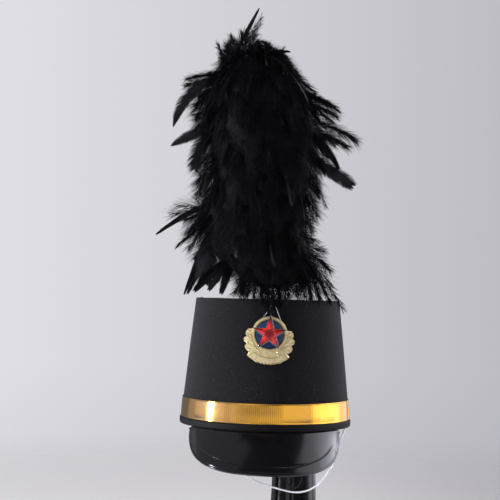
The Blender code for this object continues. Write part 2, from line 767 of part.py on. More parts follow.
felt = material("black_felt", (0.012, 0.012, 0.013), 0.9)
ribbon = material("gold_foil", (0.85, 0.52, 0.12), 0.25, 1.0)
visor = material("gloss_vinyl", (0.006, 0.006, 0.007), 0.12)
feather = material("black_feather", (0.006, 0.006, 0.007), 0.6)
gilt = material("gilt_metal", (0.80, 0.62, 0.30), 0.35, 1.0)
blue = material("blue_enamel", (0.010, 0.018, 0.075), 0.2)
red = material("red_enamel", (0.55, 0.012, 0.010), 0.2)
silver = material("bright_wire", (0.75, 0.75, 0.76), 0.25, 1.0)
elastic = material("white_elastic", (0.80, 0.80, 0.82), 0.7)
gloss = material("black_gloss", (0.008, 0.008, 0.009), 0.15)
dull = material("black_moulded", (0.012, 0.012, 0.013), 0.4)

hat = empty("hat")
hat.location.z = HEM_HEIGHT
badge = empty("badge", hat)
badge.location = (BADGE_X, BADGE_BACK_Y, BADGE_HEIGHT)
badge.rotation_euler = (BADGE_LEAN, BADGE_ROLL, 0)

crown_wall(felt, hat)
crown_top(felt, hat)
hem_band(felt, hat)
gold_band(ribbon, hat)
peak(visor, hat)
plume_socket(dull, hat)
plume_stem(dull, hat)
plume_wire(silver, hat)
plume_feathers(feather, hat)
badge_wreath(gilt, badge)
badge_enamel(blue, badge)
badge_star(red, badge)
chin_cord(elastic, hat)
stand(gloss, dull)
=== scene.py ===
import math

import bpy
import numpy as np
from mathutils import Matrix, Vector


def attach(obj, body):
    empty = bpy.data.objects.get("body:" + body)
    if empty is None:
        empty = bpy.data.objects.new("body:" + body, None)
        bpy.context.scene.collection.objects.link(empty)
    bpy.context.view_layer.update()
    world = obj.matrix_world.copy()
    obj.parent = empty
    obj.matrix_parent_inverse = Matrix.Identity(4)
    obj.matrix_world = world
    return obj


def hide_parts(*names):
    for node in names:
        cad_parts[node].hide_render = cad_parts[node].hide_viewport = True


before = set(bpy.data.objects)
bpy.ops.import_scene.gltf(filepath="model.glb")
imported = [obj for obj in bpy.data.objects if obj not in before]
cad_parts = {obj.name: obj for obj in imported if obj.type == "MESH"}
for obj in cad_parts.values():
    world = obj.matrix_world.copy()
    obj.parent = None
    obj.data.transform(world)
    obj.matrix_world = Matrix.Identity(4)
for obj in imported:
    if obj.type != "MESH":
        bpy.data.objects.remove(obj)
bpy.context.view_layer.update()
mm = 0.001
hemHeight = 150.0                       # mm from the surface to the hat's hem; shapes are in mm above the hem
scene = bpy.context.scene
scene.view_settings.view_transform = "Standard"
scene.view_settings.look = "None"

cameraSetup = {                         # the photo's angle
    "place": (0.0, -2.1, 0.3723),       # metres
    "yaw": -0.0105, "pitch": -0.0109, "roll": math.radians(1.405),
    "lens": 131.57,                     # mm on a sensor 36 mm wide
}


def makeCamera(setup):
    data = bpy.data.cameras.new("photo_camera")
    data.lens, data.clip_end = setup["lens"], 50
    camera = bpy.data.objects.new("photo_camera", data)
    scene.collection.objects.link(camera)
    camera.matrix_world = (Matrix.Translation(setup["place"]) @ Matrix.Rotation(-setup["yaw"], 4, "Z")
                           @ Matrix.Rotation(math.pi / 2 + setup["pitch"], 4, "X")
                           @ Matrix.Rotation(setup["roll"], 4, "Z"))
    scene.camera = camera


makeCamera(cameraSetup)
print("camera placed")


def linear(hexText):
    # an sRGB hex value as the linear colour that the shaders use
    values = [int(hexText[i:i + 2], 16) / 255 for i in (1, 3, 5)]
    return [v / 12.92 if v <= 0.04045 else ((v + 0.055) / 1.055) ** 2.4 for v in values] + [1.0]


def feed(tree, node, inputs):
    # inputs: a list in the sockets' order, or a dictionary by their names or numbers; each is a number, a
    # vector, a hex colour or another node's output
    for key, value in inputs.items() if isinstance(inputs, dict) else enumerate(inputs):
        if isinstance(value, bpy.types.NodeSocket):
            tree.links.new(value, node.inputs[key])
        else:
            node.inputs[key].default_value = linear(value) if isinstance(value, str) else value


def addNode(tree, kind, inputs=(), out=0, **settings):
    node = tree.nodes.new("ShaderNode" + kind)
    for name, value in settings.items():
        setattr(node, name, value)
    feed(tree, node, inputs)
    return node.outputs[out]


def makeFinish(name, shader, noises, shades, share=None, gloss=None, relief=(), over=None):
    # shader: the Principled BSDF's own values; noises: mm across, detail, roughness and stretch, of which the
    # first mixes the shades, over a share of its range, and moves the roughness through gloss; relief: a
    # noise's number, its depth in mm and its strength; over: what else changes the colour
    material = bpy.data.materials.new(name)
    material.use_nodes = True
    tree = material.node_tree
    place, fields = addNode(tree, "TexCoord", out="Object"), []
    for wide, detail, rough, *stretch in noises:
        scale = [1 / (wide * mm * s) for s in stretch or (1, 1, 1)]
        scaled = addNode(tree, "Mapping", {"Vector": place, "Scale": scale})
        fields.append(addNode(tree, "TexNoise", {"Vector": scaled, "Scale": 1.0, "Detail": detail,
                                                 "Roughness": rough}))
    mixed = addNode(tree, "MapRange", [fields[0], *share]) if share else fields[0]
    colour = addNode(tree, "Mix", {0: mixed, 6: shades[0], 7: shades[1]}, 2, data_type="RGBA")
    sockets = dict(shader, **{"Base Color": over(tree, place, colour) if over else colour})
    if gloss:
        sockets["Roughness"] = addNode(tree, "MapRange", [fields[0], 0.3, 0.7, *gloss])
    for number, depth, strength in relief:
        bump = {"Height": fields[number], "Distance": depth * mm, "Strength": strength}
        if "Normal" in sockets:
            bump["Normal"] = sockets["Normal"]
        sockets["Normal"] = addNode(tree, "Bump", bump)
    feed(tree, tree.nodes["Principled BSDF"], sockets)
    return material


def withLint(tree, place, colour):
    # pale flecks, one in three of the cells 3.4 mm wide
    lint = addNode(tree, "TexVoronoi", {"Vector": place, "Scale": 1 / (3.4 * mm)}).node.outputs
    fleck = addNode(tree, "MapRange", [lint["Distance"], 0.07, 0.12, 1.0, 0.0])
    rare = addNode(tree, "MapRange", [addNode(tree, "SeparateColor", [lint["Color"]]), 0.5, 0.65])
    seen = addNode(tree, "Math", [fleck, rare], operation="MULTIPLY")
    return addNode(tree, "Mix", {0: seen, 6: colour, 7: "#5a5a60"}, 2, data_type="RGBA")


def withPaintedHollowShade(tree, place, colour):
    # painted shade where the relief is low: the hollows darkened to brown
    paintedShade = addNode(tree, "MapRange", [addNode(tree, "NewGeometry", out="Pointiness"), 0.42, 0.5])
    return addNode(tree, "Mix", {0: paintedShade, 6: "#9a7434", 7: colour}, 2, data_type="RGBA")


def withDarkRings(centre, rings):
    # colour darkened in rings by distance from the centre: from and to in mm from the centre, shade inside or
    # outside
    def over(tree, place, colour):
        out = addNode(tree, "VectorMath", [place, centre], "Value", operation="DISTANCE")
        for start, end, inside, outside in rings:
            step = addNode(tree, "MapRange", [out, start * mm, end * mm])
            colour = addNode(tree, "Mix", {0: step, 6: inside or colour, 7: outside or colour}, 2,
                             data_type="RGBA")
        return colour

    return over


def dyedFeather(name, dark, pale, rough, sheen):
    # cock and marabou feathers dyed black: the vane keeps a low gloss, the down drinks the light
    return {"name": name, "noises": ((16.0, 3.0, 0.6),), "shades": (dark, pale), "share": (0.4, 0.75),
            "shader": {"Roughness": rough, "Specular IOR Level": 0.2, "Sheen Weight": sheen,
                       "Sheen Roughness": 0.35, "Sheen Tint": "#9a9aa2"}}


finishes = {
    # black wool felt, pressed on card: no gloss, a faint grey bloom at glancing angles, lint in the nap; its
    # tufts are 2 mm wide, and its single fibres are drawn coarser than life
    "felt": {"name": "pressed_wool_felt", "noises": ((2.2, 4.0, 0.7), (0.8, 3.0, 0.75)),
             "shades": ("#0b0b0c", "#1c1c1f"), "share": (0.3, 0.7),
             "relief": ((1, 0.25, 0.7), (0, 0.35, 0.6)), "over": withLint,
             "shader": {"Roughness": 0.95, "Specular IOR Level": 0.25, "Sheen Weight": 0.22,
                        "Sheen Roughness": 0.45, "Sheen Tint": "#c9c9d2"}},
    # black grosgrain binding: a satin thread with fine ribs, softer and greyer than the felt
    "binding": {"name": "grosgrain_binding", "noises": ((5.0, 3.0, 0.6), (0.5, 2.0, 0.6, 1, 1, 4)),
                "shades": ("#0b0a0a", "#141213"), "relief": ((1, 0.12, 0.6),),
                "shader": {"Roughness": 0.65, "Specular IOR Level": 0.2, "Sheen Weight": 0.06,
                           "Sheen Roughness": 0.3, "Sheen Tint": "#d6d2d2"}},
    # metallised ribbon: gold foil under a clear film, so a mirror with soft edges and white glints
    "foil": {"name": "metallised_gold_ribbon", "noises": ((9.0, 4.0, 0.6), (0.7, 2.0, 0.5, 1, 1, 6)),
             "shades": ("#fbb12e", "#ffc346"), "gloss": (0.07, 0.12), "relief": ((1, 0.02, 0.5),),
             "shader": {"Metallic": 1.0, "Coat Weight": 1.0, "Coat Roughness": 0.5, "Coat IOR": 1.5}},
    # moulded black vinyl: a deep black under a hard gloss with a faint orange peel
    "vinyl": {"name": "moulded_gloss_vinyl", "noises": ((14.0, 3.0, 0.6), (7.0, 1.0, 0.5)),
              "shades": ("#0a0a0c", "#101013"), "gloss": (0.14, 0.22), "relief": ((1, 0.03, 0.5),),
              "shader": {"IOR": 1.5, "Coat Weight": 0.6, "Coat Roughness": 0.1}},
    # struck plate sprayed with bronze powder in clear lacquer: its flakes give a pale soft glow and no
    # mirror; its hollows get painted shade
    "gilt": {"name": "bronze_powder_lacquer", "noises": ((4.0, 3.0, 0.6), (0.5, 2.0, 0.5)),
             "shades": ("#fff2bc", "#f0cc86"), "share": (0.42, 0.75), "gloss": (0.3, 0.46),
             "relief": ((1, 0.05, 0.5),), "over": withPaintedHollowShade, "shader": {"Metallic": 0.7}},
    # drawn steel wire, bright, with faint die lines
    "wire": {"name": "drawn_steel_wire", "noises": ((0.4, 2.0, 0.5, 1, 1, 8),),
             "shades": ("#a9a9ad", "#d8d8da"), "relief": ((0, 0.02, 0.5),),
             "shader": {"Metallic": 1.0, "Roughness": 0.22}},
    # black florist's tape wound on wire: dull wax with a ridge at each turn
    "tape": {"name": "wound_stem_tape", "noises": ((1.1, 3.0, 0.6, 3, 3, 1),),
             "shades": ("#060607", "#101012"), "relief": ((0, 0.15, 0.8),),
             "shader": {"Roughness": 0.6, "Specular IOR Level": 0.2}},
    # white rubber core braided over with cotton: chalky white, a little grey between the strands
    "elastic": {"name": "braided_white_elastic", "noises": ((0.9, 3.0, 0.6), (0.35, 2.0, 0.5)),
                "shades": ("#f4f4f7", "#dcdce2"), "relief": ((1, 0.08, 0.6),),
                "shader": {"Roughness": 0.75, "Sheen Weight": 0.3, "Sheen Roughness": 0.4}},
    # black stove enamel on steel: near mirror with a faint waviness
    "lacquer": {"name": "black_stove_enamel", "noises": ((25.0, 3.0, 0.55), (12.0, 1.0, 0.5)),
                "shades": ("#08080a", "#0e0e10"), "gloss": (0.07, 0.15), "relief": ((1, 0.04, 0.3),),
                "shader": {"IOR": 1.5, "Coat Weight": 0.5, "Coat Roughness": 0.03}},
    # black nylon, moulded: a dull gloss with fine grain
    "nylon": {"name": "moulded_nylon_rack", "noises": ((1.2, 3.0, 0.6),), "shades": ("#0f0f11", "#1b1b1e"),
              "relief": ((0, 0.05, 0.5),), "shader": {"Roughness": 0.34}},
    "down": dyedFeather("dyed_marabou_down", "#020305", "#07080b", 0.7, 0.03),
    "vane": dyedFeather("dyed_cock_feather", "#050608", "#111217", 0.4, 0.08),
    "paintedLitVane": dyedFeather("cock_feather_painted_lit", "#1c1c20", "#34343b", 0.5, 0.2),    # a paler grey copy of the vane: painted light, as if lit through the thin vane
}
materials = {key: makeFinish(**finish) for key, finish in finishes.items()}
print("materials made")


def addPiece(name, shape, material, node=None, smooth=True, sharp=None):
    # shape: points in mm above the hem, and faces; node: the solid that the piece replaces
    points, faces = shape
    mesh = bpy.data.meshes.new(name)
    mesh.from_pydata(((np.asarray(points, float) + (0, 0, hemHeight)) * mm).tolist(), [], faces)
    mesh.materials.append(materials[material])
    if smooth:
        mesh.shade_smooth()
    if sharp:
        mesh.set_sharp_from_angle(angle=math.radians(sharp))
    piece = bpy.data.objects.new(name, mesh)
    scene.collection.objects.link(piece)
    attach(piece, "root")
    if node:
        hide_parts(node)
    return piece


def gridFaces(rows, columns, wrapRows=False, wrapColumns=True):
    # quads of a grid whose points run along the columns first
    r = np.arange(rows if wrapRows else rows - 1)[:, None]
    c = np.arange(columns if wrapColumns else columns - 1)[None, :]
    low, high = r * columns, (r + 1) % rows * columns
    after = (c + 1) % columns
    return np.stack([low + c, low + after, high + after, high + c], -1).reshape(-1, 4).tolist()


def cappedFaces(rows, columns, downward=False):
    # a tube's quads, and the two faces that close its ends
    first, last = list(range(columns)), list(range((rows - 1) * columns, rows * columns))
    return gridFaces(rows, columns) + ([first, last[::-1]] if downward else [first[::-1], last])


def joined(shapes):
    points, faces, start = [], [], 0
    for shape, polygons in shapes:
        points.append(shape)
        faces += [[start + i for i in polygon] for polygon in polygons]
        start += len(shape)
    return np.vstack(points), faces


def unit(vectors):
    return vectors / np.maximum(np.linalg.norm(vectors, axis=-1, keepdims=True), 1e-9)


def smoothStep(value, low, high):
    share = np.clip((value - low) / (high - low), 0, 1)
    return share * share * (3 - 2 * share)


def between(value, low, high, soft):
    # 1 between low and high, falling to 0 softly on both sides
    return smoothStep(value, low - soft, low + soft) * (1 - smoothStep(value, high - soft, high + soft))


def bell(value, wide):
    return np.exp(-(value / wide) ** 2)


def waves(rng, count, longest):
    # a smooth random function of an angle and a height: a sum of sines, whole turns round the angle
    turns = rng.integers(1, 9, count)
    climbs = rng.uniform(-1, 1, count) * 2 * math.pi / longest
    starts = rng.uniform(0, 2 * math.pi, count)
    return lambda angle, height: sum(np.sin(turn * angle + climb * height + start)
                                     for turn, climb, start in zip(turns, climbs, starts)) / math.sqrt(count)


def travelled(path):
    return np.concatenate([[0], np.cumsum(np.linalg.norm(np.diff(path, axis=0), axis=1))])


def smoothRows(rows, steps):
    # a smooth curve through rows of numbers, in steps from each row to the next
    rows = np.asarray(rows, float)
    ends = np.vstack([2 * rows[0] - rows[1], rows, 2 * rows[-1] - rows[-2]])
    t = np.linspace(0, 1, steps, endpoint=False)[:, None]
    fine = [b + ((c - a) * t + (2 * a - 5 * b + 4 * c - d) * t ** 2 + (3 * b - a - 3 * c + d) * t ** 3) / 2
            for a, b, c, d in zip(ends, ends[1:], ends[2:], ends[3:])]
    return np.vstack(fine + [rows[-1:]])


def evenPath(route, spacing):
    # points spacing mm apart on a smooth curve through the route
    fine = smoothRows(route, 24)
    gone = travelled(fine)
    even = np.linspace(0, gone[-1], max(2, round(gone[-1] / spacing)) + 1)
    return np.stack([np.interp(even, gone, fine[:, k]) for k in range(3)], 1)


def tubeShape(path, radius, sides, relief=None):
    # a tube along a path, with flat ends; relief(turn, travelled) is added to the radius
    path = np.asarray(path, float)
    ways = unit(np.gradient(path, axis=0))
    side, sideways = np.cross(ways[0], (0.3, 0.2, 1.0)), []
    for way in ways:
        side = unit(side - way * np.dot(side, way))
        sideways.append(side)
    turn = np.linspace(0, 2 * math.pi, sides, endpoint=False)
    reach = np.broadcast_to(np.reshape(radius, (-1, 1)), (len(path), sides))
    if relief:
        reach = reach + relief(turn[None, :], travelled(path)[:, None])
    ring = (np.cos(turn)[:, None] * np.array(sideways)[:, None]
            + np.sin(turn)[:, None] * np.cross(ways, sideways)[:, None])
    return (path[:, None] + ring * reach[..., None]).reshape(-1, 3), cappedFaces(len(path), sides)


def turnedShape(profile, steps, centre, ring=False):
    # profile of (radius, height): from the axis at the top to the axis at the bottom, or round a ring's side
    width, height = np.asarray(profile, float).T[..., None]
    turn = np.linspace(0, 2 * math.pi, steps, endpoint=False)
    points = np.stack([centre[0] + width * np.cos(turn), centre[1] + width * np.sin(turn),
                       height + 0 * turn], -1).reshape(-1, 3)
    return points, gridFaces(len(profile), steps, True) if ring else cappedFaces(len(profile), steps, True)


cordLook = {
    "route": (                          # mm from the hat's axis and above its hem, right side to left
        (91.2, -25.0, 1.0), (89.0, -28.6, -5.6), (85.8, -33.0, -13.0), (82.6, -38.0, -28.0),
        (75.0, -43.5, -43.5), (67.5, -45.8, -55.0), (58.3, -46.4, -64.2), (47.6, -46.4, -69.8),
        (35.0, -46.2, -71.5), (22.0, -46.0, -69.3), (9.0, -45.8, -66.0), (-4.0, -45.4, -62.2),
        (-16.5, -44.2, -56.6), (-30.0, -43.2, -49.4), (-44.0, -42.2, -41.0), (-57.5, -41.6, -32.0),
        (-69.0, -41.6, -22.4), (-77.6, -43.2, -12.0), (-81.8, -45.4, -4.0), (-83.0, -47.0, 1.0),
    ),
    "radius": 1.0, "sides": 14, "spacing": 0.4,
    "plaits": 4, "plaitRun": 4.2, "plaitDepth": 0.13,    # strands each way, mm for a turn, relief
}


def makeChinCord(look):
    path = evenPath(look["route"], look["spacing"])

    def plait(turn, gone):
        wind = 2 * math.pi * gone / look["plaitRun"]
        strands = [np.abs(np.cos((look["plaits"] * turn + way * wind) / 2)) for way in (1, -1)]
        return look["plaitDepth"] * (np.maximum(*strands) - 1)

    shape = tubeShape(path, look["radius"], look["sides"], plait)
    cord = addPiece("chin_elastic", shape, "elastic", "chin_cord")
    world = (path + (0, 0, hemHeight)) * mm
    length = float(travelled(world)[-1])
    print("chin cord", round(length, 3), "m")


makeChinCord(cordLook)

crown = {
    "oval": 1.05,                       # front-to-back size over side-to-side size
    "rows": ((1.8, 96.0), (8.3, 95.9), (31.3, 94.3), (143.4, 82.4)),   # height and half width
    "thick": 3.0, "top": 143.4, "foot": 1.8,
    "bandLean": 0.011, "topLean": 0.038, "leanFrom": 31.0,
    "rim": 1.3,                         # radius of the rim's rounding
    "topThick": 3.0, "topBelowRim": 1.0, "topSag": 0.6, "topGap": 0.3,
    "steps": 288, "climbs": 46,
    "dents": 0.28, "dentsFrom": (34, 48),          # how far the felt strays from true, and above what height
    "rimDents": 0.22, "rimFrom": (138, 143), "topDents": 0.15,
    "bumpAngle": math.radians(-68), "bumpHalf": math.radians(1.6), "bumpRise": 0.9,    # a nick in the rim
}


def halfWidthAt(height):
    return np.interp(height, *zip(*crown["rows"]))


def onCrown(angle, halfWidth, height):
    # a point at an angle from the front towards +X, at a half width of the head's oval; the rings lean back
    share = np.clip((height - crown["leanFrom"]) / (crown["top"] - crown["leanFrom"]), 0, None)
    lean = crown["bandLean"] + (crown["topLean"] - crown["bandLean"]) * share
    x, y = halfWidth * np.sin(angle), -halfWidth * crown["oval"] * np.cos(angle)
    return np.stack([x, y, height - lean * y], -1)


def ringShape(profile, steps, push, closed=True):
    # profile: (half width, height) round a section, or from the axis to the axis where it isn't closed;
    # push(angle, height, point number) moves its points out and up
    width, height = np.asarray(profile, float).T[..., None] + np.zeros(steps)
    angle = np.linspace(0, 2 * math.pi, steps, endpoint=False) + 0 * width
    out, up = push(angle, height, np.arange(len(profile))[:, None])
    points = onCrown(angle, width + out, height + up).reshape(-1, 3)
    return points, gridFaces(len(profile), steps, True) if closed else cappedFaces(len(profile), steps, True)


def arcPoints(centre, radius, fromTurn, toTurn, count):
    # an arc in a section, turns in degrees from outward, counter-clockwise
    turns = np.radians(np.linspace(fromTurn, toTurn, count))
    return [(centre[0] + radius * math.cos(t), centre[1] + radius * math.sin(t)) for t in turns]


def makeCrownWall(look):
    rng = np.random.default_rng(3)
    wander, rimWander = waves(rng, 9, 90.0), waves(rng, 6, 400.0)
    top, rim, thick = look["top"], look["rim"], look["thick"]
    heights, edge = np.linspace(look["foot"], top - rim, look["climbs"]), halfWidthAt(top)
    profile = [(halfWidthAt(z), z) for z in heights]
    profile += arcPoints((edge - rim, top - rim), rim, 8, 90, 6)
    profile += arcPoints((edge - thick + rim, top - rim), rim, 90, 172, 6)
    profile += [(halfWidthAt(z) - thick, z) for z in heights[::-1]]

    def push(angle, height, number):
        out = look["dents"] * smoothStep(height, *look["dentsFrom"]) * wander(angle, height)
        bump = bell(np.angle(np.exp(1j * (angle - look["bumpAngle"]))), look["bumpHalf"])
        up = look["rimDents"] * rimWander(angle, height) + look["bumpRise"] * bump
        return out, smoothStep(height, *look["rimFrom"]) * up

    addPiece("felt_crown_wall", ringShape(profile, look["steps"], push), "felt", "crown_wall")


def makeCrownTop(look):
    high = look["top"] - look["topBelowRim"]
    low = high - look["topThick"]
    reach = halfWidthAt(high) - look["thick"] - look["topGap"]
    shares = np.sqrt(np.linspace(0.0004, 1, 26))
    profile = [(reach * s, high - look["topSag"] * (1 - s * s)) for s in shares]
    profile += [(reach * s, low) for s in shares[::-1]]
    share = np.array(profile)[:, :1] / reach
    wander = waves(np.random.default_rng(4), 7, 60.0)

    def push(angle, height, number):
        return 0, look["topDents"] * wander(angle, height) * share * (1 - share) * 4 * (height > low + 1)

    shape = ringShape(profile, look["steps"] // 2, push, closed=False)
    addPiece("felt_crown_top", shape, "felt", "crown_top")


makeCrownWall(crown)
makeCrownTop(crown)
print("crown made")

hemLook = {
    "low": 0.5, "high": 8.3, "inner": 96.3, "thick": 2.0,
    "steps": 720, "ribPitch": 1.7,      # mm; the thread's ribs are finer in life
    "ribDepth": 0.05, "stray": 0.12,
    "squareness": 0.45, "outerRows": 15, "easeRows": 3,
}
ribbonLook = {
    "low": 8.6, "high": 31.0, "gap": 0.3, "thick": 0.9,
    "ribPitch": 2.3,                    # mm, on the radius below; coarser than life, or they wouldn't show
    "ribRadius": 99.0, "ribDepth": 0.18, "ribFlat": 0.02, "ribColumns": 6, "bulge": 0.3,
    "ribMargin": 1.25, "ribSoft": 0.35,            # mm from either edge to the ribs
    "edgeRows": (0, 0.35, 0.8, 1.3, 2.4),          # mm from either edge
    "edgeBead": 0.22,                   # the upper selvedge stands this far proud
    "stray": 0.05,
    "ribsFrom": math.radians(-26), "ribsTo": math.radians(10), "wornSoft": 0.06,    # elsewhere worn flat
    "seamAngle": math.radians(80), "seamStep": 0.35, "seamRun": math.radians(26),
}


def makeHemBinding(look):
    low, high, inner, deep = (look[key] for key in ("low", "high", "inner", "thick"))
    middle, half, turns = (low + high) / 2, (high - low) / 2, np.linspace(-90, 90, look["outerRows"])
    profile = [(inner + deep * math.cos(t) ** look["squareness"], middle + half * math.sin(t))
               for t in np.radians(turns)]
    profile += [(inner, high - 0.1), (inner, middle), (inner, low + 0.1)]
    wander = waves(np.random.default_rng(5), 8, 500.0)
    ribs = round(2 * math.pi * (inner + deep) / look["ribPitch"])

    def push(angle, height, number):
        free = smoothStep(number, 0, look["easeRows"]) * (number < len(turns) - 1)
        rib = look["ribDepth"] * (np.cos(ribs * angle) - 1)
        return free * (rib + look["stray"] * np.minimum(0, wander(angle, height))), 0

    addPiece("hem_binding", ringShape(profile, look["steps"], push), "binding", "hem_band")


def makeGoldRibbon(look):
    low, high, bead = look["low"], look["high"], look["edgeBead"]
    edge = np.array(look["edgeRows"])
    heights = np.concatenate([low + edge[:-1], np.linspace(low + edge[-1], high - edge[-1], 7),
                              high - edge[-2::-1]])
    lift = look["bulge"] * (1 - ((heights - (low + high) / 2) / ((high - low) / 2)) ** 2)
    lift[[0, -1]] += 0.02
    lift[[1, -2]] += bead * 0.3, bead
    lift[[2, -3]] += bead * 0.1, bead * 0.35
    face = look["gap"] + look["thick"] - bead
    profile = [(halfWidthAt(z) + face + up, z) for z, up in zip(heights, lift)]
    profile += [(halfWidthAt(z) + look["gap"], z) for z in (high, low)]
    ribs = round(2 * math.pi * look["ribRadius"] / look["ribPitch"])
    ribLow, ribHigh = low + look["ribMargin"], high - look["ribMargin"]
    wander = waves(np.random.default_rng(6), 8, 300.0)

    def push(angle, height, number):
        turn = np.angle(np.exp(1j * angle))
        ribbed = between(turn, look["ribsFrom"], look["ribsTo"], look["wornSoft"])
        deep = look["ribFlat"] + (look["ribDepth"] - look["ribFlat"]) * ribbed
        rib = deep * (1 - np.cos(ribs * angle)) / 2 * between(height, ribLow, ribHigh, look["ribSoft"])
        past = -np.angle(np.exp(1j * (angle - look["seamAngle"])))
        under = look["seamStep"] * smoothStep(past, 0, 1e-4) * (1 - smoothStep(past, 0, look["seamRun"]))
        stray = look["stray"] * np.minimum(0, wander(angle, height))
        return (number < len(heights)) * (stray - rib - under), 0

    shape = ringShape(profile, ribs * look["ribColumns"], push)
    addPiece("gold_ribbon", shape, "foil", "gold_band")


makeHemBinding(hemLook)
makeGoldRibbon(ribbonLook)
print("bands made")

peakLook = {
    "thick": 2.2, "x": -0.5, "halfWidth": 83.4, "drop": 40.8, "tilt": 0.023, "squareness": 3.7,
    "endEase": 0.12, "back": 50.0, "reach": 93.0, "roundness": 2.2, "span": math.radians(58.1),
    "fromWall": 0.4, "endHeading": math.radians(89.65), "endShift": math.radians(1.3),
    "flangeRise": 10.0, "flangeRows": (-2, -1.5, -1.1, -0.9, -0.5, -0.1), "underHem": 0.3, "bulge": 0.03,
    "across": 240, "down": 18, "nearShare": 0.6,   # the close rows take at most this share of the width
    "bead": 0.8, "beadWide": 2.9,       # the rolled edge: how proud and how wide, mm
    "beadFront": 0.45, "beadBack": 0.3, "rollFlat": 0.7, "rollTurns": (35, 0, -35),
    "endsFrom": 5, "endsTo": 25,        # the relief fades where the peak is less wide than this, mm
    "crease": 0.22, "creaseWide": 0.35,            # the dip along the inner side of the rolled edge
    "beadRows": (0, 0.25, 0.6, 1.0, 1.4, 1.8, 2.1, 2.35, 2.6, 2.8, 3.0, 3.2, 3.5, 3.9),    # mm from the edge
    # the groove pressed into the face: mm from the edge by share of the half width, depth from left to right
    "grooveFromEdge": ((0, 0.4, 0.6, 0.8, 1), (8.8, 11.0, 15.0, 17.5, 17.5)), "grooveWide": 1.1,
    "lip": 0.3, "lipAt": 2.2,           # the raised side of the groove: share of its depth, its place
    "grooveDepth": ((-0.8, -0.7, -0.5, -0.3, 0.2, 0.45, 0.74, 0.79), (0, 0.23, 0.23, 0.14, 0.2, 0.8, 0.9, 0)),
    "leadRows": (0.52, 0.64, 0.76),
    "grooveRows": (-1.7, -1.0, -0.65, -0.4, -0.2, 0, 0.2, 0.4, 0.65, 1.0, 1.6, 2.7),
}


def peakEdge(side):
    look = peakLook
    heading, power = side * look["endHeading"] + side ** 2 * look["endShift"], look["squareness"]
    reach = ((np.abs(np.sin(heading)) / look["halfWidth"]) ** power
             + (np.abs(np.cos(heading)) / look["drop"]) ** power) ** (-1 / power)
    x, drop = reach * np.sin(heading), reach * np.cos(heading)
    spread = np.minimum(1.0, np.abs(x) / (look["halfWidth"] + look["endEase"]))
    forward = look["back"] + look["reach"] * (1 - spread ** look["roundness"]) ** (1 / look["roundness"])
    return np.stack([look["x"] + x, -forward, -drop - look["tilt"] * x], -1)


def underHem(side, half):
    # where the middle surface lies flat under the hem
    turn = side * peakLook["span"]
    y = -half * crown["oval"] * np.cos(turn)
    low = hemLook["low"] - 0.3 - peakLook["thick"] / 2
    return np.stack([half * np.sin(turn), y, low - crown["bandLean"] * y], -1)


def browAt(side):
    return underHem(side, halfWidthAt(crown["foot"]) + hemLook["thick"] - peakLook["underHem"])


def peakMiddle(side, share):
    # the middle surface; share: -2 to -1 on the flange in the crown, to 0 under the hem, 1 at the outer edge
    look = peakLook
    inside = crown["thick"] + 0.3 + look["thick"] / 2 + look["fromWall"]
    sewn, brow, edge = underHem(side, halfWidthAt(crown["foot"]) - inside), browAt(side), peakEdge(side)
    width = np.linalg.norm(edge - brow, axis=-1, keepdims=True)
    middle = (brow + edge) / 2 + (unit(edge * (1, 1, 0)) + (0, 0, 1)) * width * look["bulge"]
    s = np.clip(share, 0, 1)[..., None]
    face = brow * (1 - s) ** 2 + middle * 2 * s * (1 - s) + edge * s ** 2
    face = face + (sewn - brow) * np.clip(-share, 0, 1)[..., None]
    return face + np.clip(-1 - share, 0, 1)[..., None] * (0, 0, look["flangeRise"])


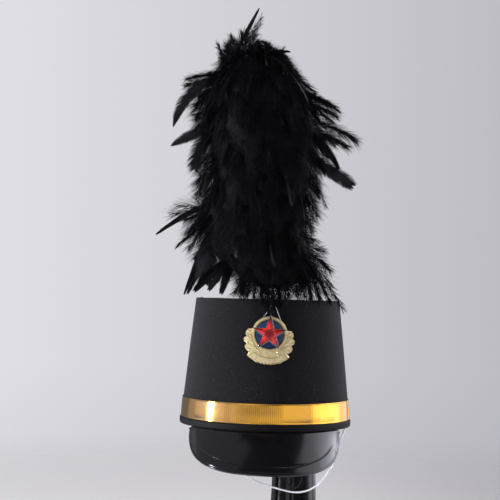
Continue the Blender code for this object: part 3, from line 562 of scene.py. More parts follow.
def makePeak(look):
    side = np.linspace(-1, 1, look["across"] + 1)
    length = np.linalg.norm(peakEdge(side) - browAt(side), axis=-1)
    pressed = np.interp(np.abs(side), *look["grooveFromEdge"])
    beadRows, leadRows, grooveRows, flangeRows = (
        np.array(look[key])[:, None] for key in ("beadRows", "leadRows", "grooveRows", "flangeRows"))
    near = np.concatenate([beadRows + 0 * side, leadRows * pressed, pressed + grooveRows])
    near = near * np.minimum(1 / length, look["nearShare"] / near[-1])
    far = near[-1] + (1 - near[-1]) * np.linspace(0, 1, look["down"])[1:, None]
    shares = np.concatenate([flangeRows + 0 * side, 1 - np.concatenate([near, far])[::-1]])
    grid = peakMiddle(np.broadcast_to(side, shares.shape), shares)
    normal = unit(np.cross(np.gradient(grid, axis=1), np.gradient(grid, axis=0)))
    normal *= np.where(normal[-10, len(side) // 2, 1] > 0, -1, 1)      # outward

    runs = np.linalg.norm(np.diff(grid, axis=0), axis=-1)
    fromEdge = np.concatenate([np.cumsum(runs[::-1], 0)[::-1], np.zeros((1, len(side)))])
    rolled = (fromEdge - look["beadWide"] / 2) / (look["beadWide"] / 2)
    ends = smoothStep(length, look["endsFrom"], look["endsTo"])
    bead = look["bead"] * ends * np.sqrt(np.clip(1 - rolled ** 2, 0, 1))
    crease = look["crease"] * ends * bell(fromEdge - look["beadWide"], look["creaseWide"])
    off = (fromEdge - pressed) / (look["grooveWide"] / 2)
    lip = look["lip"] * bell(off - look["lipAt"], 1)
    groove = np.interp(side, *look["grooveDepth"]) * (bell(off, 1) - lip)
    half = look["thick"] / 2
    upper = grid + normal * (half + bead * look["beadFront"] - crease - groove)[..., None]
    lower = grid - normal * (half + bead * look["beadBack"])[..., None]
    away = unit(grid[-1] - grid[-4])
    roll = [grid[-1] + half * (away * math.cos(t) * look["rollFlat"] + normal[-1] * math.sin(t))
            for t in np.radians(look["rollTurns"])]
    sheet = np.concatenate([upper, np.stack(roll), lower[::-1]])

    faces = gridFaces(len(sheet), len(side), True, False)
    rows, count = len(upper), len(sheet)
    for first, turned in ((0, 1), (len(side) - 1, -1)):                # the two ends
        loop = [row * len(side) + first for row in range(count)]
        faces += [[loop[k], loop[k + 1], loop[count - 2 - k], loop[count - 1 - k]][::turned]
                  for k in range(rows - 1)]
        faces.append(loop[rows - 1:count - rows + 1][::turned])
    addPiece("vinyl_peak", (sheet.reshape(-1, 3), faces), "vinyl", "peak", sharp=50)


makePeak(peakLook)
print("peak made")

badgeLook = {
    "centre": (2.7, -97.3, 108.4), "lean": math.radians(-6.0), "roll": math.radians(2.4),
    "bend": 80.0,                       # radius of its bend about the upright axis
    "plate": 1.1, "ringInner": 16.4, "ringOuter": 19.4, "ringRaise": 0.9, "edge": 0.8,
    # one side of the outline: degrees from straight down, mm from the centre, sweep in degrees
    "outline": ((0, 33.7, 0), (3, 32.7, 0), (6, 33.8, 0), (9, 32.8, 0), (12, 33.7, 0), (16, 33.0, 0),
                (23, 33.9, 0), (31, 33.3, 0), (44, 33.5, 0), (46, 29.9, 3),
                (54, 30.5, 9), (62, 30.1, 13), (66, 27.3, 14), (73, 29.3, 16), (80, 28.3, 17), (84, 25.7, 17),
                (91, 26.7, 16), (98, 25.5, 13), (103, 24.0, 9), (107, 19.6, 3), (121, 19.6, 0),
                (136, 19.6, 0), (151, 19.6, 0), (166, 19.6, 0), (180, 19.6, 0)),
    "outlineSteps": 8,                  # finer points between two rows
    "plateRows": (0.02, 5.0, 10.0, 14.5, 15.6, 16.2, 16.4, 16.55, 16.75, 17.2, 17.6, 17.9, 18.2, 18.6, 19.0,
                  19.2, 19.4),          # mm from the centre
    "leaves": (                         # root and tip as degrees and mm, then half width and height
        (38, 22.0, 62, 31.0, 4.6, 1.1), (57, 21.0, 80, 29.4, 4.4, 1.2), (76, 20.0, 98, 26.4, 3.6, 1.1),
        (24, 22.5, 47, 29.5, 4.2, 0.7), (46, 19.8, 69, 25.5, 3.0, 1.5), (66, 19.2, 88, 23.6, 2.4, 1.5),
    ),
    "scrollFrom": 25.4, "scrollHalf": 43.0, "scrollHeight": 0.75,
    "enamelRadius": 16.1, "enamelThick": 0.5, "enamelDome": 0.25, "enamelSteps": 96,
}
starLook = {
    "up": 0.3, "radius": 19.3, "topArm": 1.14, "waist": 0.39, "middle": 0.33,
    "back": 2.4, "edge": 0.5, "crest": 3.2, "flat": 2.5,
    "wire": 0.28, "innerWire": 0.16,
}


def onBadge(points):
    # badge work is laid out flat as (across, outward, up), then bent and set on the crown's front
    across, outward, up = np.asarray(points, float).T
    radius, turn = badgeLook["bend"] + outward, across / badgeLook["bend"]
    bent = np.stack([radius * np.sin(turn), badgeLook["bend"] - radius * np.cos(turn), up], -1)
    spin = np.array(Matrix.Rotation(badgeLook["roll"], 3, "Y") @ Matrix.Rotation(badgeLook["lean"], 3, "X"))
    return bent @ spin.T + badgeLook["centre"]


def badgePlace(degrees, reach):
    # flat place of an angle from straight down towards +X
    turn = np.radians(degrees)
    return reach * np.sin(turn), -reach * np.cos(turn)


def leafHeight(x, z, leaf):
    # a pointed leaf with a groove for its midrib and a raised rim, highest along its middle; 0 outside it
    rootTurn, rootReach, tipTurn, tipReach, half, high = leaf
    root, tip = np.array(badgePlace(rootTurn, rootReach)), np.array(badgePlace(tipTurn, tipReach))
    line = tip - root
    length = np.hypot(*line)
    u = ((x - root[0]) * line[0] + (z - root[1]) * line[1]) / length ** 2
    v = ((z - root[1]) * line[0] - (x - root[0]) * line[1]) / length
    wide = half * np.sqrt(np.clip(np.sin(math.pi * np.clip(u, 0, 1) ** 0.8), 0, 1)) + 1e-6
    dome = np.sqrt(np.clip(1 - (v / wide) ** 2, 0, 1)) * (0.45 + 0.3 * u)
    relief = high * dome - 0.5 * bell(v, 0.45) + 0.6 * bell(wide - np.abs(v) - 0.55, 0.45) + 0.1
    return np.where((u > 0) & (u < 1) & (np.abs(v) < wide), relief, 0)


def wreathHeight(degrees, reach, share):
    # front of the struck plate above its flat back
    look, (x, z), away = badgeLook, badgePlace(degrees, reach), np.abs(degrees)
    inner, outer = look["ringInner"], look["ringOuter"]
    rise, fall = smoothStep(reach, inner, inner + 0.35), 1 - 0.45 * smoothStep(reach, outer - 0.35, outer)
    height = look["plate"] + rise * (look["ringRaise"] * fall - 0.16 * bell(reach - (inner + outer) / 2, 0.5))
    leaves = np.max([leafHeight(np.abs(x), z, leaf) for leaf in look["leaves"]], 0)
    start = look["scrollFrom"]
    onScroll = smoothStep(reach, start, start + 0.5) * (1 - smoothStep(away, 42.5, 44.5))
    border, curl = 0.18 * bell(reach - start - 0.9, 0.4), 0.55 * bell(away - look["scrollHalf"] + 2.5, 2.2)
    scroll = onScroll * (look["scrollHeight"] + border + curl - 0.3 * bell(away - 24, 0.9))
    outside = smoothStep(reach, outer - 0.2, outer + 0.3)
    height = height + outside * np.maximum(scroll, leaves * (1 - onScroll))
    rounding = np.maximum(1 - smoothStep(share, 0.9, 1.0), 0) ** 0.5
    return np.where(share > 0, look["edge"] + (height - look["edge"]) * rounding, height)


def makeWreath(look):
    rows = smoothRows(look["outline"], look["outlineSteps"])
    rows = np.vstack([rows[:0:-1] * (-1, 1, -1), rows[:-1]])     # left side, then right, meeting at the top
    angle, edge, sweep = rows.T
    inner, outer = np.array(look["plateRows"])[:, None], look["ringOuter"]
    shares = np.concatenate([np.linspace(0, 0.88, 34)[1:], [0.91, 0.94, 0.965, 0.985, 1.0]])[:, None]
    turns = np.concatenate([angle - sweep + 0 * inner, angle - sweep * (1 - shares)])
    reaches = np.concatenate([inner + 0 * angle, outer + (edge - outer) * shares])
    part = np.concatenate([0 * inner, shares]) * np.where(edge > outer + 0.6, 1, 0.999)
    x, z = badgePlace(turns, reaches)
    front, back = (np.stack([x, high, z], -1) for high in (wreathHeight(turns, reaches, part), 0 * x))
    sheet = np.concatenate([front, back[::-6], back[:1]])
    shape = onBadge(sheet.reshape(-1, 3)), cappedFaces(*sheet.shape[:2])
    addPiece("gilt_wreath", shape, "gilt", "badge_wreath", sharp=45)


def makeEnamelDisc(look):
    low, reach, steps = look["plate"] + 0.3, look["enamelRadius"], look["enamelSteps"]
    shares = np.array([0.01, 0.2, 0.4, 0.6, 0.8, 0.92, 0.97, 1.0])
    high = low + look["enamelThick"] + look["enamelDome"] * (1 - shares ** 2) - ([0] * 6 + [0.05, 0.2])
    wide, height = np.array([*zip(reach * shares, high), (reach, low), (reach * 0.01, low)]).T[..., None]
    x, z = badgePlace(np.linspace(0, 360, steps, endpoint=False), wide)
    points = np.stack([x, height + 0 * x, z], -1).reshape(-1, 3)
    addPiece("enamel_disc", (onBadge(points), cappedFaces(len(wide), steps)), "blueEnamel",
             "badge_enamel", sharp=50)


def starCorner(number, share, high):
    # corner of the star: even numbers on its arms, odd ones between them
    reach = starLook["radius"] * share * (starLook["topArm"] if number % 10 == 0 and share == 1.0 else 1.0)
    x, z = badgePlace(180 + 36 * number, reach)
    return (x, starLook["back"] + high, z + starLook["up"])


def denseRun(corners, steps=6):
    # points along straight runs between corners
    corners = np.asarray(corners, float)
    t = np.linspace(0, 1, steps, endpoint=False)[:, None]
    return np.vstack([a + (b - a) * t for a, b in zip(corners, corners[1:])] + [corners[-1:]])


def makeStar(look):
    points, lows = [], []

    def corner(*at):
        points.append(starCorner(*at))
        return len(points) - 1

    waist, inner = look["waist"], look["middle"]
    middle = [corner(2 * k + 1, inner, look["flat"]) for k in range(5)]
    faces = [middle]
    for k in range(5):
        left, right = middle[k - 1], middle[k]
        tip = corner(2 * k, 1.0, look["edge"] + 0.25)
        ridge = corner(2 * k, inner * math.cos(math.radians(36)), look["crest"])
        before, after = (corner(2 * k + way, waist, look["edge"]) for way in (-1, 1))
        low = [corner(2 * k - 1, waist, 0), corner(2 * k, 1.0, 0), corner(2 * k + 1, waist, 0)]
        faces += [[left, before, ridge], [before, tip, ridge], [ridge, tip, after], [ridge, after, right],
                  [left, ridge, right], [before, low[0], low[1], tip], [tip, low[1], low[2], after]]
        lows += [low[:2], low[1:]]
    hub = corner(0, 0.0, 0)
    faces += [[start, hub, end] for start, end in lows]
    addPiece("enamel_star", (onBadge(points), faces), "redEnamel", "badge_star", smooth=False)
    edge = [starCorner(n, (1.0, waist)[n % 2], look["edge"] + (0.3, 0.05)[n % 2]) for n in range(11)]
    pentagon = [starCorner(2 * k + 1, inner, look["flat"] + 0.04) for k in range(6)]
    wires = [tubeShape(onBadge(denseRun(run)), radius, 6)
             for run, radius in ((edge, look["wire"]), (pentagon, look["innerWire"]))]
    addPiece("star_cloisons", joined(wires), "wire")


def firedEnamel(name, shades, rings):
    # glassy soft enamel, poured: clear gloss over a deep colour that clouds a little
    centre = (onBadge([(0, starLook["back"] + 1.5, starLook["up"])])[0] + (0, 0, hemHeight)) * mm
    return makeFinish(name, {"Roughness": 0.12, "IOR": 1.52}, ((3.5, 3.0, 0.6), (2.0, 1.0, 0.5)), shades,
                      (0.3, 0.7), relief=((1, 0.04, 0.4),), over=withDarkRings(centre, rings))


# the blue disc's darker rim is painted shade, where the raised ring meets the enamel
materials["blueEnamel"] = firedEnamel("blue_fired_enamel", ("#123b66", "#0d1545"),
                                      ((14.6, 15.9, None, "#06080f"),))
# the star is darker in its middle and towards its arm tips
materials["redEnamel"] = firedEnamel("red_fired_enamel", ("#f23a1e", "#a8121c"),
                                     ((2.8, 6.6, "#8a0c1a", None), (8.5, 17.0, None, "#40050e")))
makeWreath(badgeLook)
makeEnamelDisc(badgeLook)
makeStar(starLook)
print("badge made")

stemLook = {
    "x": 4.7, "y": -93.9, "pin": 1.2, "radius": 2.1, "low": 101.0, "wound": 128.6, "high": 150.0,
    "windPitch": 2.6, "windDepth": 0.22,
    "socketLow": 100.0, "socketHigh": 116.0, "socketBore": 1.5, "socketWall": 0.7,
    "wire": 0.5,
    "wireRoute": ((-6.8, -93.2, 123.5), (-3.4, -94.0, 128.5), (0.4, -95.6, 134.0), (4.6, -97.0, 142.0),
                  (8.4, -96.4, 138.6), (11.4, -94.6, 131.5), (14.8, -93.2, 123.5)),
}


def makeStem(look):
    centre, wound = (look["x"], look["y"]), look["wound"]
    heights = np.arange(look["low"], look["high"] + 0.01, 0.35)
    wide = look["pin"] + (look["radius"] - look["pin"]) * smoothStep(heights, wound - 0.6, wound)

    def winding(turn, gone):
        wind = np.abs(np.cos(math.pi * gone / look["windPitch"] - turn / 2))
        return look["windDepth"] * (wind - 1) * smoothStep(gone + look["low"], wound, wound + 1)

    path = [(*centre, z) for z in heights]
    addPiece("wound_stem", tubeShape(path, wide, 20, winding), "tape", "plume_stem")
    bore, outside = look["socketBore"], look["socketBore"] + look["socketWall"]
    low, high = look["socketLow"], look["socketHigh"]
    section = [(outside - 0.15, high), (outside, high - 0.2), (outside, low + 0.2), (outside - 0.15, low),
               (bore + 0.1, low), (bore, low + 0.15), (bore, high - 0.15), (bore + 0.1, high)]
    addPiece("stem_socket", turnedShape(section, 32, centre, ring=True), "nylon",
             "plume_socket", sharp=40)
    wire = tubeShape(evenPath(look["wireRoute"], 0.6), look["wire"], 10)
    addPiece("bright_wire", wire, "wire", "plume_wire")


makeStem(stemLook)
print("stem made")

plumeMass = (                           # mm: height, centre x and y, half width, half depth
    (150, 5, -92, 9, 9), (158, 4, -90, 32, 26), (172, 6, -86, 47, 38), (190, -6, -82, 58, 46),
    (205, -16, -78, 63, 50), (230, -18, -76, 66, 54), (256, -14, -74, 69, 56), (292, -11, -74, 68, 57),
    (330, -14, -74, 73, 57), (348, -17, -74, 69, 56), (367, -17, -74, 63, 54), (385, -18, -75, 54, 50),
    (403, -20, -75, 42, 42), (413, -22, -75, 36, 34), (422, -26, -75, 29, 28), (432, -31, -75, 17, 18),
    (441, -33, -75, 8, 8),
)
plumeLook = {                           # toss turns a vane off its even lie
    "mass": {"tips": (160, 432), "roots": (168, 428), "rootOut": (0.15, 0.45), "stray": 0.02, "swing": 0.3,
             "fall": ([0, 0.25, 0.75, 0.92, 1.0], [0.5, 0.72, 0.62, 0.1, -0.7]), "fallStray": 0.12,
             "fallLimits": (-0.95, 0.92), "bowOut": 0.09, "bowUp": 0.05},
    "heart": {"share": 0.80, "rows": 60, "steps": 72, "low": 156, "high": 425},
    "down": {"seed": 12, "count": 620, "out": (0.86, 1.02), "length": (58, 84), "barb": (9, 17), "wide": 0.42,
             "gap": 1.5, "toss": 0.4},
    "cock": {"seed": 13, "count": 150, "out": (0.9, 1.04), "length": (52, 80), "barb": (9, 17), "wide": 1.5,
             "gap": 0.8, "toss": 0.3},
    "nap": {"count": 26000, "length": (5, 13), "wide": 0.34, "rise": (156, 432), "out": (0.8, 0.97),
            "fall": ((156, 230, 380, 415, 440), (-0.5, -0.8, -0.5, 0.4, 1.4)),
            "short": ((156, 405, 432), (1, 1, 0.55)), "clump": 0.25, "stray": 0.3, "drift": 0.15,
            "droop": 0.12},
}
marabou = {     # down: long loose barbs that drift
    "gap": 1.5, "outline": ([0, 0.25, 0.8, 1], [0.55, 1, 0.85, 0.5]), "lean": (62, 26), "stray": 13,
    "lift": 0.3, "ragged": 0.45, "sweep": 0.18, "curl": 0.14, "droop": 0.12, "wide": 0.42, "tilt": 0.4,
    "missing": 0.05, "quill": 0.35,
}
cockVane = {    # a glossy pointed vane: barbs lie close and overlap
    "gap": 0.55, "outline": ([0, 0.15, 0.5, 0.85, 1], [0.5, 0.85, 1, 0.7, 0.35]), "lean": (38, 20),
    "stray": 1.6, "lift": 0.03, "ragged": 0.12, "sweep": 0.06, "curl": 0.01, "droop": 0.0, "wide": 1.15,
    "tilt": 0.25, "missing": 0.0, "quill": 0.5,
}


def massAt(height):
    heights, *columns = np.array(plumeMass, float).T
    return [np.interp(height, heights, column) for column in columns]


def massPoint(around, height, share):
    # a point of the mass: around is an angle from +X, share how far out from its middle
    x, y, wide, deep = massAt(height)
    return np.stack([x + wide * share * np.cos(around), y + deep * share * np.sin(around),
                     height + 0 * around], -1)


def barbStrips(root, aim, bend, side, length, wide):
    # flat tapering ribbons, one for each barb: aim is its way out, bend its drift by the tip, side its width
    t, taper = np.array([0.0, 0.4, 0.75])[:, None], np.array([1.0, 0.85, 0.5])[:, None]
    root, aim, bend, side = (vectors[:, None] for vectors in (root, aim, bend, side))
    length, wide = length[:, None, None], wide[:, None, None]
    line = root + aim * length * t + bend * length * t * t
    half = side * wide / 2 * taper
    strip = np.stack([line - half, line + half], 2).reshape(len(root), 6, 3)
    start = np.arange(len(root))[:, None] * 7
    corners = (0, 1, 3, 2), (2, 3, 5, 4), (4, 5, 6)
    faces = [face for shape in corners for face in (start + shape).tolist()]
    return np.concatenate([strip, root + aim * length + bend * length], 1).reshape(-1, 3), faces


def featherShapes(rng, root, tip, bow, flat, kind):
    # one feather's barbs and shaft; bow is how far the shaft curves out, flat the way that its vane faces
    pairs = max(6, int(float(np.linalg.norm(tip - root)) / kind["gap"]))
    s = np.linspace(0, 1, pairs)
    t = s[:, None]
    line = root + (tip - root) * t + 4 * bow * t * (1 - t)
    way = unit((tip - root) + 4 * bow * (1 - 2 * t))
    face = unit(np.cross(np.cross(way, flat), way))
    across = np.cross(way, face)
    shapes = []
    for turn in (-1, 1):
        grown = (s > 0) & (rng.random(pairs) > kind["missing"])
        n = int(grown.sum())
        if not n:
            continue
        lean = np.interp(s[grown], [0, 1], kind["lean"]) + rng.normal(0, kind["stray"], n)
        lean = np.radians(lean)[:, None]
        aim = way[grown] * np.cos(lean) + across[grown] * turn * np.sin(lean)
        aim = unit(aim + face[grown] * rng.normal(0, kind["lift"], n)[:, None])
        reach = kind["barb"] * np.interp(s[grown], *kind["outline"]) * rng.uniform(1 - kind["ragged"], 1, n)
        bend = way[grown] * kind["sweep"] + rng.normal(0, kind["curl"], (n, 3)) - (0, 0, kind["droop"])
        wide = kind["wide"] * rng.uniform(0.8, 1.2, n)
        side = unit(unit(np.cross(face[grown], aim)) + face[grown] * kind["tilt"] * turn)
        shapes.append(barbStrips(line[grown], aim, bend, side, reach, wide))
    shaft = line[::max(1, pairs // 9)]
    return shapes + [tubeShape(shaft, kind["quill"] * np.linspace(1, 0.15, len(shaft)), 3)]


def massFeathers(look, base):
    # feathers that clothe the mass, each as its own shapes: fanned up at the top, hanging lower down
    rng, count, mass = np.random.default_rng(look["seed"]), look["count"], plumeLook["mass"]
    rise = (np.arange(count) + 0.5) / count
    rise = rise + rng.uniform(-mass["stray"], mass["stray"], count)
    lowest, highest = mass["tips"]
    height = lowest + (highest - lowest) * np.clip(rise, 0, 1)
    around = np.arange(count) * math.radians(137.508)      # the golden angle spreads them evenly
    around = around + rng.uniform(-mass["swing"], mass["swing"], count)
    tip = massPoint(around, height, rng.uniform(*look["out"], count))
    length = rng.uniform(*look["length"], count)
    fall = np.interp(rise, *mass["fall"]) + rng.normal(0, mass["fallStray"], count)
    start = np.clip(height + length * np.clip(fall, *mass["fallLimits"]), *mass["roots"])
    x, y, wide, deep = massAt(start)
    back = np.stack([x, y, start], -1)
    outward = unit((tip - back) * (1, 1, 0))
    root = back + outward * (rng.uniform(*mass["rootOut"], count) * np.minimum(wide, deep))[:, None]
    bow = (outward * mass["bowOut"] + (0, 0, mass["bowUp"])) * length[:, None]
    made = []
    for k in range(count):
        kind = dict(base, barb=rng.uniform(*look["barb"]), gap=look["gap"], wide=look["wide"])
        flat = outward[k] + rng.normal(0, look["toss"], 3)
        made.append(featherShapes(rng, root[k], tip[k], bow[k], flat, kind))
    return made


def addFeathers(name, feathers, material):
    shape = joined([shape for feather in feathers for shape in feather])
    addPiece(name, shape, material, smooth=False)


def makePlumeHeart(look):
    # the dark middle where the shafts are bound, hidden by the feathers
    rows, steps = look["rows"], look["steps"]
    climb = np.linspace(0.01, 0.99, rows)[:, None]
    around = np.linspace(0, 2 * math.pi, steps, endpoint=False) + 0 * climb
    height = look["low"] + climb * (look["high"] - look["low"]) + 0 * around
    lump = waves(np.random.default_rng(11), 14, 45.0)(around, height)
    share = look["share"] * (1 + 0.07 * lump) * np.sqrt(np.clip(1 - (2 * climb - 1) ** 14, 0, 1))
    shape = massPoint(around, height, share).reshape(-1, 3), cappedFaces(rows, steps)
    addPiece("plume_heart", shape, "down", "plume_feathers")


def makeNap(look):
    # short loose barbs all over the mass, which soften its outline
    rng, count = np.random.default_rng(14), look["count"]
    height = rng.uniform(*look["rise"], count)
    around = rng.uniform(0, 2 * math.pi, count)
    root = massPoint(around, height, rng.uniform(*look["out"], count))
    x, y = massAt(height)[:2]
    outward = unit(root - np.stack([x, y, height], -1))
    fall = np.interp(height, *look["fall"])[:, None]
    clump = np.stack([np.sin(around * 9 + height / 7), np.cos(around * 7 - height / 11),
                      np.sin(height / 5)], -1)
    aim = outward + np.array((0, 0, 1)) * fall + look["clump"] * clump
    aim = unit(aim + rng.normal(0, look["stray"], (count, 3)))
    bend = rng.normal(0, look["drift"], (count, 3)) - (0, 0, look["droop"])
    side = unit(np.cross(aim, rng.normal(0, 1, (count, 3))))
    length = rng.uniform(*look["length"], count) * np.interp(height, *look["short"])
    shape = barbStrips(root, aim, bend, side, length, look["wide"] * rng.uniform(0.6, 1.2, count))
    addPiece("plume_nap", shape, "down", smooth=False)


# the feathers that stand out: kind, tip x y z, root x z, width and bow, in mm
standingFeathers = (
    ("blade", -17, -76, 469, -32, 439, 5, 0), ("wisp", -11, -84, 463, -28, 436, 12, 1),
    ("wisp", -12, -70, 456, -27, 435, 11, 1), ("tuft", -19, -92, 445, -25, 428, 13, 0),
    ("tuft", -35, -80, 447, -37, 428, 12, 0), ("tuft", -51, -66, 443, -43, 426, 10, 1),
    ("tuft", -29, -62, 447, -31, 431, 10, 0), ("hook", 22, -88, 422, 3, 414, 12, 4),
    ("tuft", -65, -60, 434, -55, 406, 9, 1), ("tuft", -56, -92, 431, -49, 416, 9, 1),
    ("tuft", -5, -62, 434, -11, 423, 9, 1), ("brush", -102, -104, 385, -51, 393, 14, 2),
    ("brush", -106, -50, 382, -59, 386, 13, 3), ("brush", -94, -80, 364, -68, 374, 20, 3),
    ("brush", -98, -60, 354, -68, 368, 20, 3), ("brush", -94, -92, 340, -67, 356, 19, 2),
    ("brush", -93, -64, 330, -67, 345, 18, 2), ("sickle", -109, -98, 333, -73, 377, 15, 9),
    ("sickle", -113, -62, 314, -73, 331, 14, 2), ("paddle", -86, -104, 285, -70, 318, 19, 5),
    ("tuft", -91, -56, 283, -71, 301, 16, 2), ("tuft", -89, -80, 265, -72, 283, 16, 2),
    ("tuft", -87, -96, 251, -74, 272, 16, 2), ("fan", -115, -60, 249, -76, 244, 18, 1),
    ("fan", -120, -72, 238, -76, 241, 15, 0), ("tuft", -103, -50, 229, -75, 239, 15, 1),
    ("blade", -127, -86, 214, -80, 243, 7, 2), ("brush", -99, -92, 211, -73, 232, 19, 2),
    ("brush", -105, -102, 200, -74, 221, 8, 3), ("tuft", -97, -46, 195, -72, 217, 16, 2),
    ("tuft", -89, -84, 183, -71, 203, 14, 2), ("blade", -93, -92, 148, -72, 206, 7, 0),
    ("blade", -91, -66, 147, -68, 199, 9, 0), ("paddle", -70, -106, 160, -65, 208, 25, 1),
    ("blade", -84, -112, 152, -47, 184, 13, 2), ("blade", -69, -58, 151, -44, 186, 12, 1),
    ("blade", -53, -98, 148, -41, 184, 12, 1), ("tuft", -43, -104, 148, -20, 170, 14, 2),
    ("tuft", -34, -110, 146, -20, 176, 14, 1), ("tuft", -24, -106, 142, -18, 178, 15, 0),
    ("tuft", -15, -112, 140, -14, 179, 15, 0), ("brush", -6, -116, 135, -7, 174, 15, 0),
    ("brush", 0, -118, 128, -1, 172, 14, 0), ("brush", 7, -121, 129, 4, 173, 14, 0),
    ("brush", 14, -117, 134, 10, 175, 15, 0), ("tuft", 24, -120, 139, 19, 180, 15, 0),
    ("tuft", 19, -104, 140, 17, 177, 15, 0), ("tuft", -29, -98, 141, -25, 176, 14, 1),
    ("tuft", 34, -114, 141, 28, 180, 15, 1), ("tuft", 42, -108, 142, 34, 182, 15, 1),
    ("brush", 50, -120, 141, 36, 182, 15, 2), ("brush", 60, -116, 140, 41, 184, 14, 3),
    ("brush", 71, -118, 140, 43, 187, 12, 2), ("fan", 87, -108, 132, 47, 187, 12, 1),
    ("fan", 75, -100, 158, 47, 187, 12, 2), ("brush", 75, -64, 176, 45, 195, 14, 3),
    ("tuft", 69, -74, 202, 41, 202, 15, 3), ("tuft", 58, -92, 209, 40, 215, 13, 2),
    ("tuft", 54, -60, 220, 40, 233, 15, 2), ("tuft", 57, -108, 233, 39, 257, 18, 2),
    ("wisp", 64, -106, 245, 45, 279, 9, 2), ("tuft", 58, -70, 260, 45, 284, 15, 2),
    ("paddle", 93, -86, 272, 45, 301, 19, 1), ("strand", -44, -134, 326, -43, 359, 4, 1),
    ("strand", -25, -136, 282, -28, 323, 4, 1), ("strand", -23, -136, 252, -23, 283, 3, 1),
    ("strand", 27, -126, 269, 25, 291, 4, 1), ("strand", 4, -130, 160, 5, 197, 4, 1),
    ("strand", -54, -118, 265, -60, 281, 4, 1), ("strand", -37, -134, 293, -35, 309, 3, 0),
    ("blade", 76, -108, 289, 48, 323, 10, 3), ("brush", 72, -76, 300, 42, 324, 20, 2),
    ("brush", 105, -66, 321, 42, 344, 19, 3), ("brush", 92, -84, 313, 44, 334, 15, 2),
    ("brush", 77, -54, 318, 47, 331, 13, 2), ("brush", 79, -98, 353, 32, 371, 13, 3),
    ("brush", 79, -64, 348, 35, 366, 14, 2), ("brush", 72, -90, 340, 37, 361, 12, 2),
    ("brush", 77, -50, 360, 23, 379, 10, 3), ("tuft", 36, -60, 391, 14, 405, 12, 2),
    ("tuft", 51, -96, 371, 23, 391, 10, 2), ("tuft", -30, -12, 250, -24, 290, 22, 6),
    ("blade", 10, -14, 200, 4, 240, 18, 6), ("tuft", -20, -8, 350, -16, 352, 22, 8),
    ("blade", -10, -138, 262, -10, 294, 15, 5), ("tuft", -28, -136, 330, -22, 344, 20, 6),
)
featherKinds = {
    "blade": dict(cockVane),
    "hook": dict(cockVane, outline=([0, 0.3, 1], [1, 0.7, 0.2])),
    "wisp": dict(marabou, gap=1.0, lean=(40, 18), stray=8, ragged=0.5, missing=0.25, wide=0.5),
    "tuft": dict(marabou, gap=0.6, lean=(42, 16), stray=9, lift=0.18, wide=0.5),
    "brush": dict(marabou, gap=0.5, lean=(30, 14), stray=7, lift=0.15, wide=0.55, missing=0.0),
    "fan": dict(marabou, gap=0.9, lean=(34, 14), stray=9, lift=0.12, wide=0.45, missing=0.1),
    "sickle": dict(cockVane, outline=([0, 0.2, 0.5, 0.75, 0.9, 1], [0.6, 1, 1, 0.7, 0.35, 0.08]), wide=0.95,
                   setBack=0.1),
    "paddle": dict(cockVane, outline=([0, 0.2, 0.7, 0.88, 1], [0.6, 1, 1, 0.7, 0.25]), lean=(36, 22),
                   wide=0.95, setBack=0.3),
    "strand": dict(cockVane, gap=1.3, wide=0.3, missing=0.5, quill=0.4),
}
standingPieces = {                      # material, and the kinds of feather in it
    "plume_blades": ("vane", ("blade", "hook")),
    "plume_grey_blades": ("paintedLitVane", ("sickle", "paddle", "strand")),
    "plume_tufts": ("down", ("wisp", "tuft", "brush", "fan")),
}


def makeStandingFeathers():
    rng = np.random.default_rng(15)
    grown = []
    for name, tipX, tipY, tipZ, rootX, rootZ, width, bow in standingFeathers:
        kind = featherKinds[name]
        tip = np.array((tipX, tipY, tipZ), float)
        root = np.array((rootX, (massAt(rootZ)[1] + tipY) / 2, rootZ), float)
        line = unit(tip - root)
        up = unit(np.array((0, 0, 1.0)) - line * line[2])
        lean = math.radians(np.mean(kind["lean"]))
        barb = width / 2 / math.sin(lean) * (1.0 if kind["gap"] < 0.58 else 1.25)
        end = tip - line * barb * math.cos(lean) * kind.get("setBack", 0.6)
        flat = np.array((0.0, -1.0, 0.25)) if abs(line[1]) < 0.6 else np.array((0.3, 0.0, 1.0))
        grown.append(featherShapes(rng, root - line * 16, end, up * bow, flat, dict(kind, barb=barb)))
    for piece, (material, kinds) in standingPieces.items():
        addFeathers(piece, [made for row, made in zip(standingFeathers, grown) if row[0] in kinds], material)


makePlumeHeart(plumeLook["heart"])
downFeathers = massFeathers(plumeLook["down"], marabou)
addFeathers("plume_down_a", downFeathers[::2], "down")
addFeathers("plume_down_b", downFeathers[1::2], "down")
addFeathers("plume_cock_feathers", massFeathers(plumeLook["cock"], cockVane), "vane")
makeNap(plumeLook["nap"])
makeStandingFeathers()
print("plume made")

standLook = {                           # mm above the surface
    "x": 34.8, "footRadius": 105.0, "footThick": 6.0, "headRadius": 38.0, "headLow": 279.7, "headThick": 8.0,
    "columnFoot": 27.7, "taper": 0.03, "columnLow": 6.3, "columnHigh": 279.4,
    "rackTurn": math.radians(213), "rackWidth": 7.0, "rackDepth": 2.6, "rackInset": 2.0,
    "toothPitch": 3.0, "toothDepth": 1.2, "edge": 0.6, "columnRows": 60,
    # one tooth: share of the pitch and of the depth cut away
    "tooth": ((0.0, 1.0), (0.18, 0.1), (0.3, 0.0), (0.62, 0.0), (0.74, 0.1), (0.92, 1.0)),
}


def columnRadius(height):
    return standLook["columnFoot"] - standLook["taper"] * height


def discProfile(radius, low, thick, edge=2.0):
    high = low + thick
    middle = [(0.02, high), (radius * 0.35, high), (radius * 0.7, high)]
    return (middle + arcPoints((radius - edge, high - edge), edge, 90, 0, 6)
            + arcPoints((radius - edge, low + edge), edge, 0, -90, 6) + [(r, low) for r, _ in middle[::-1]])


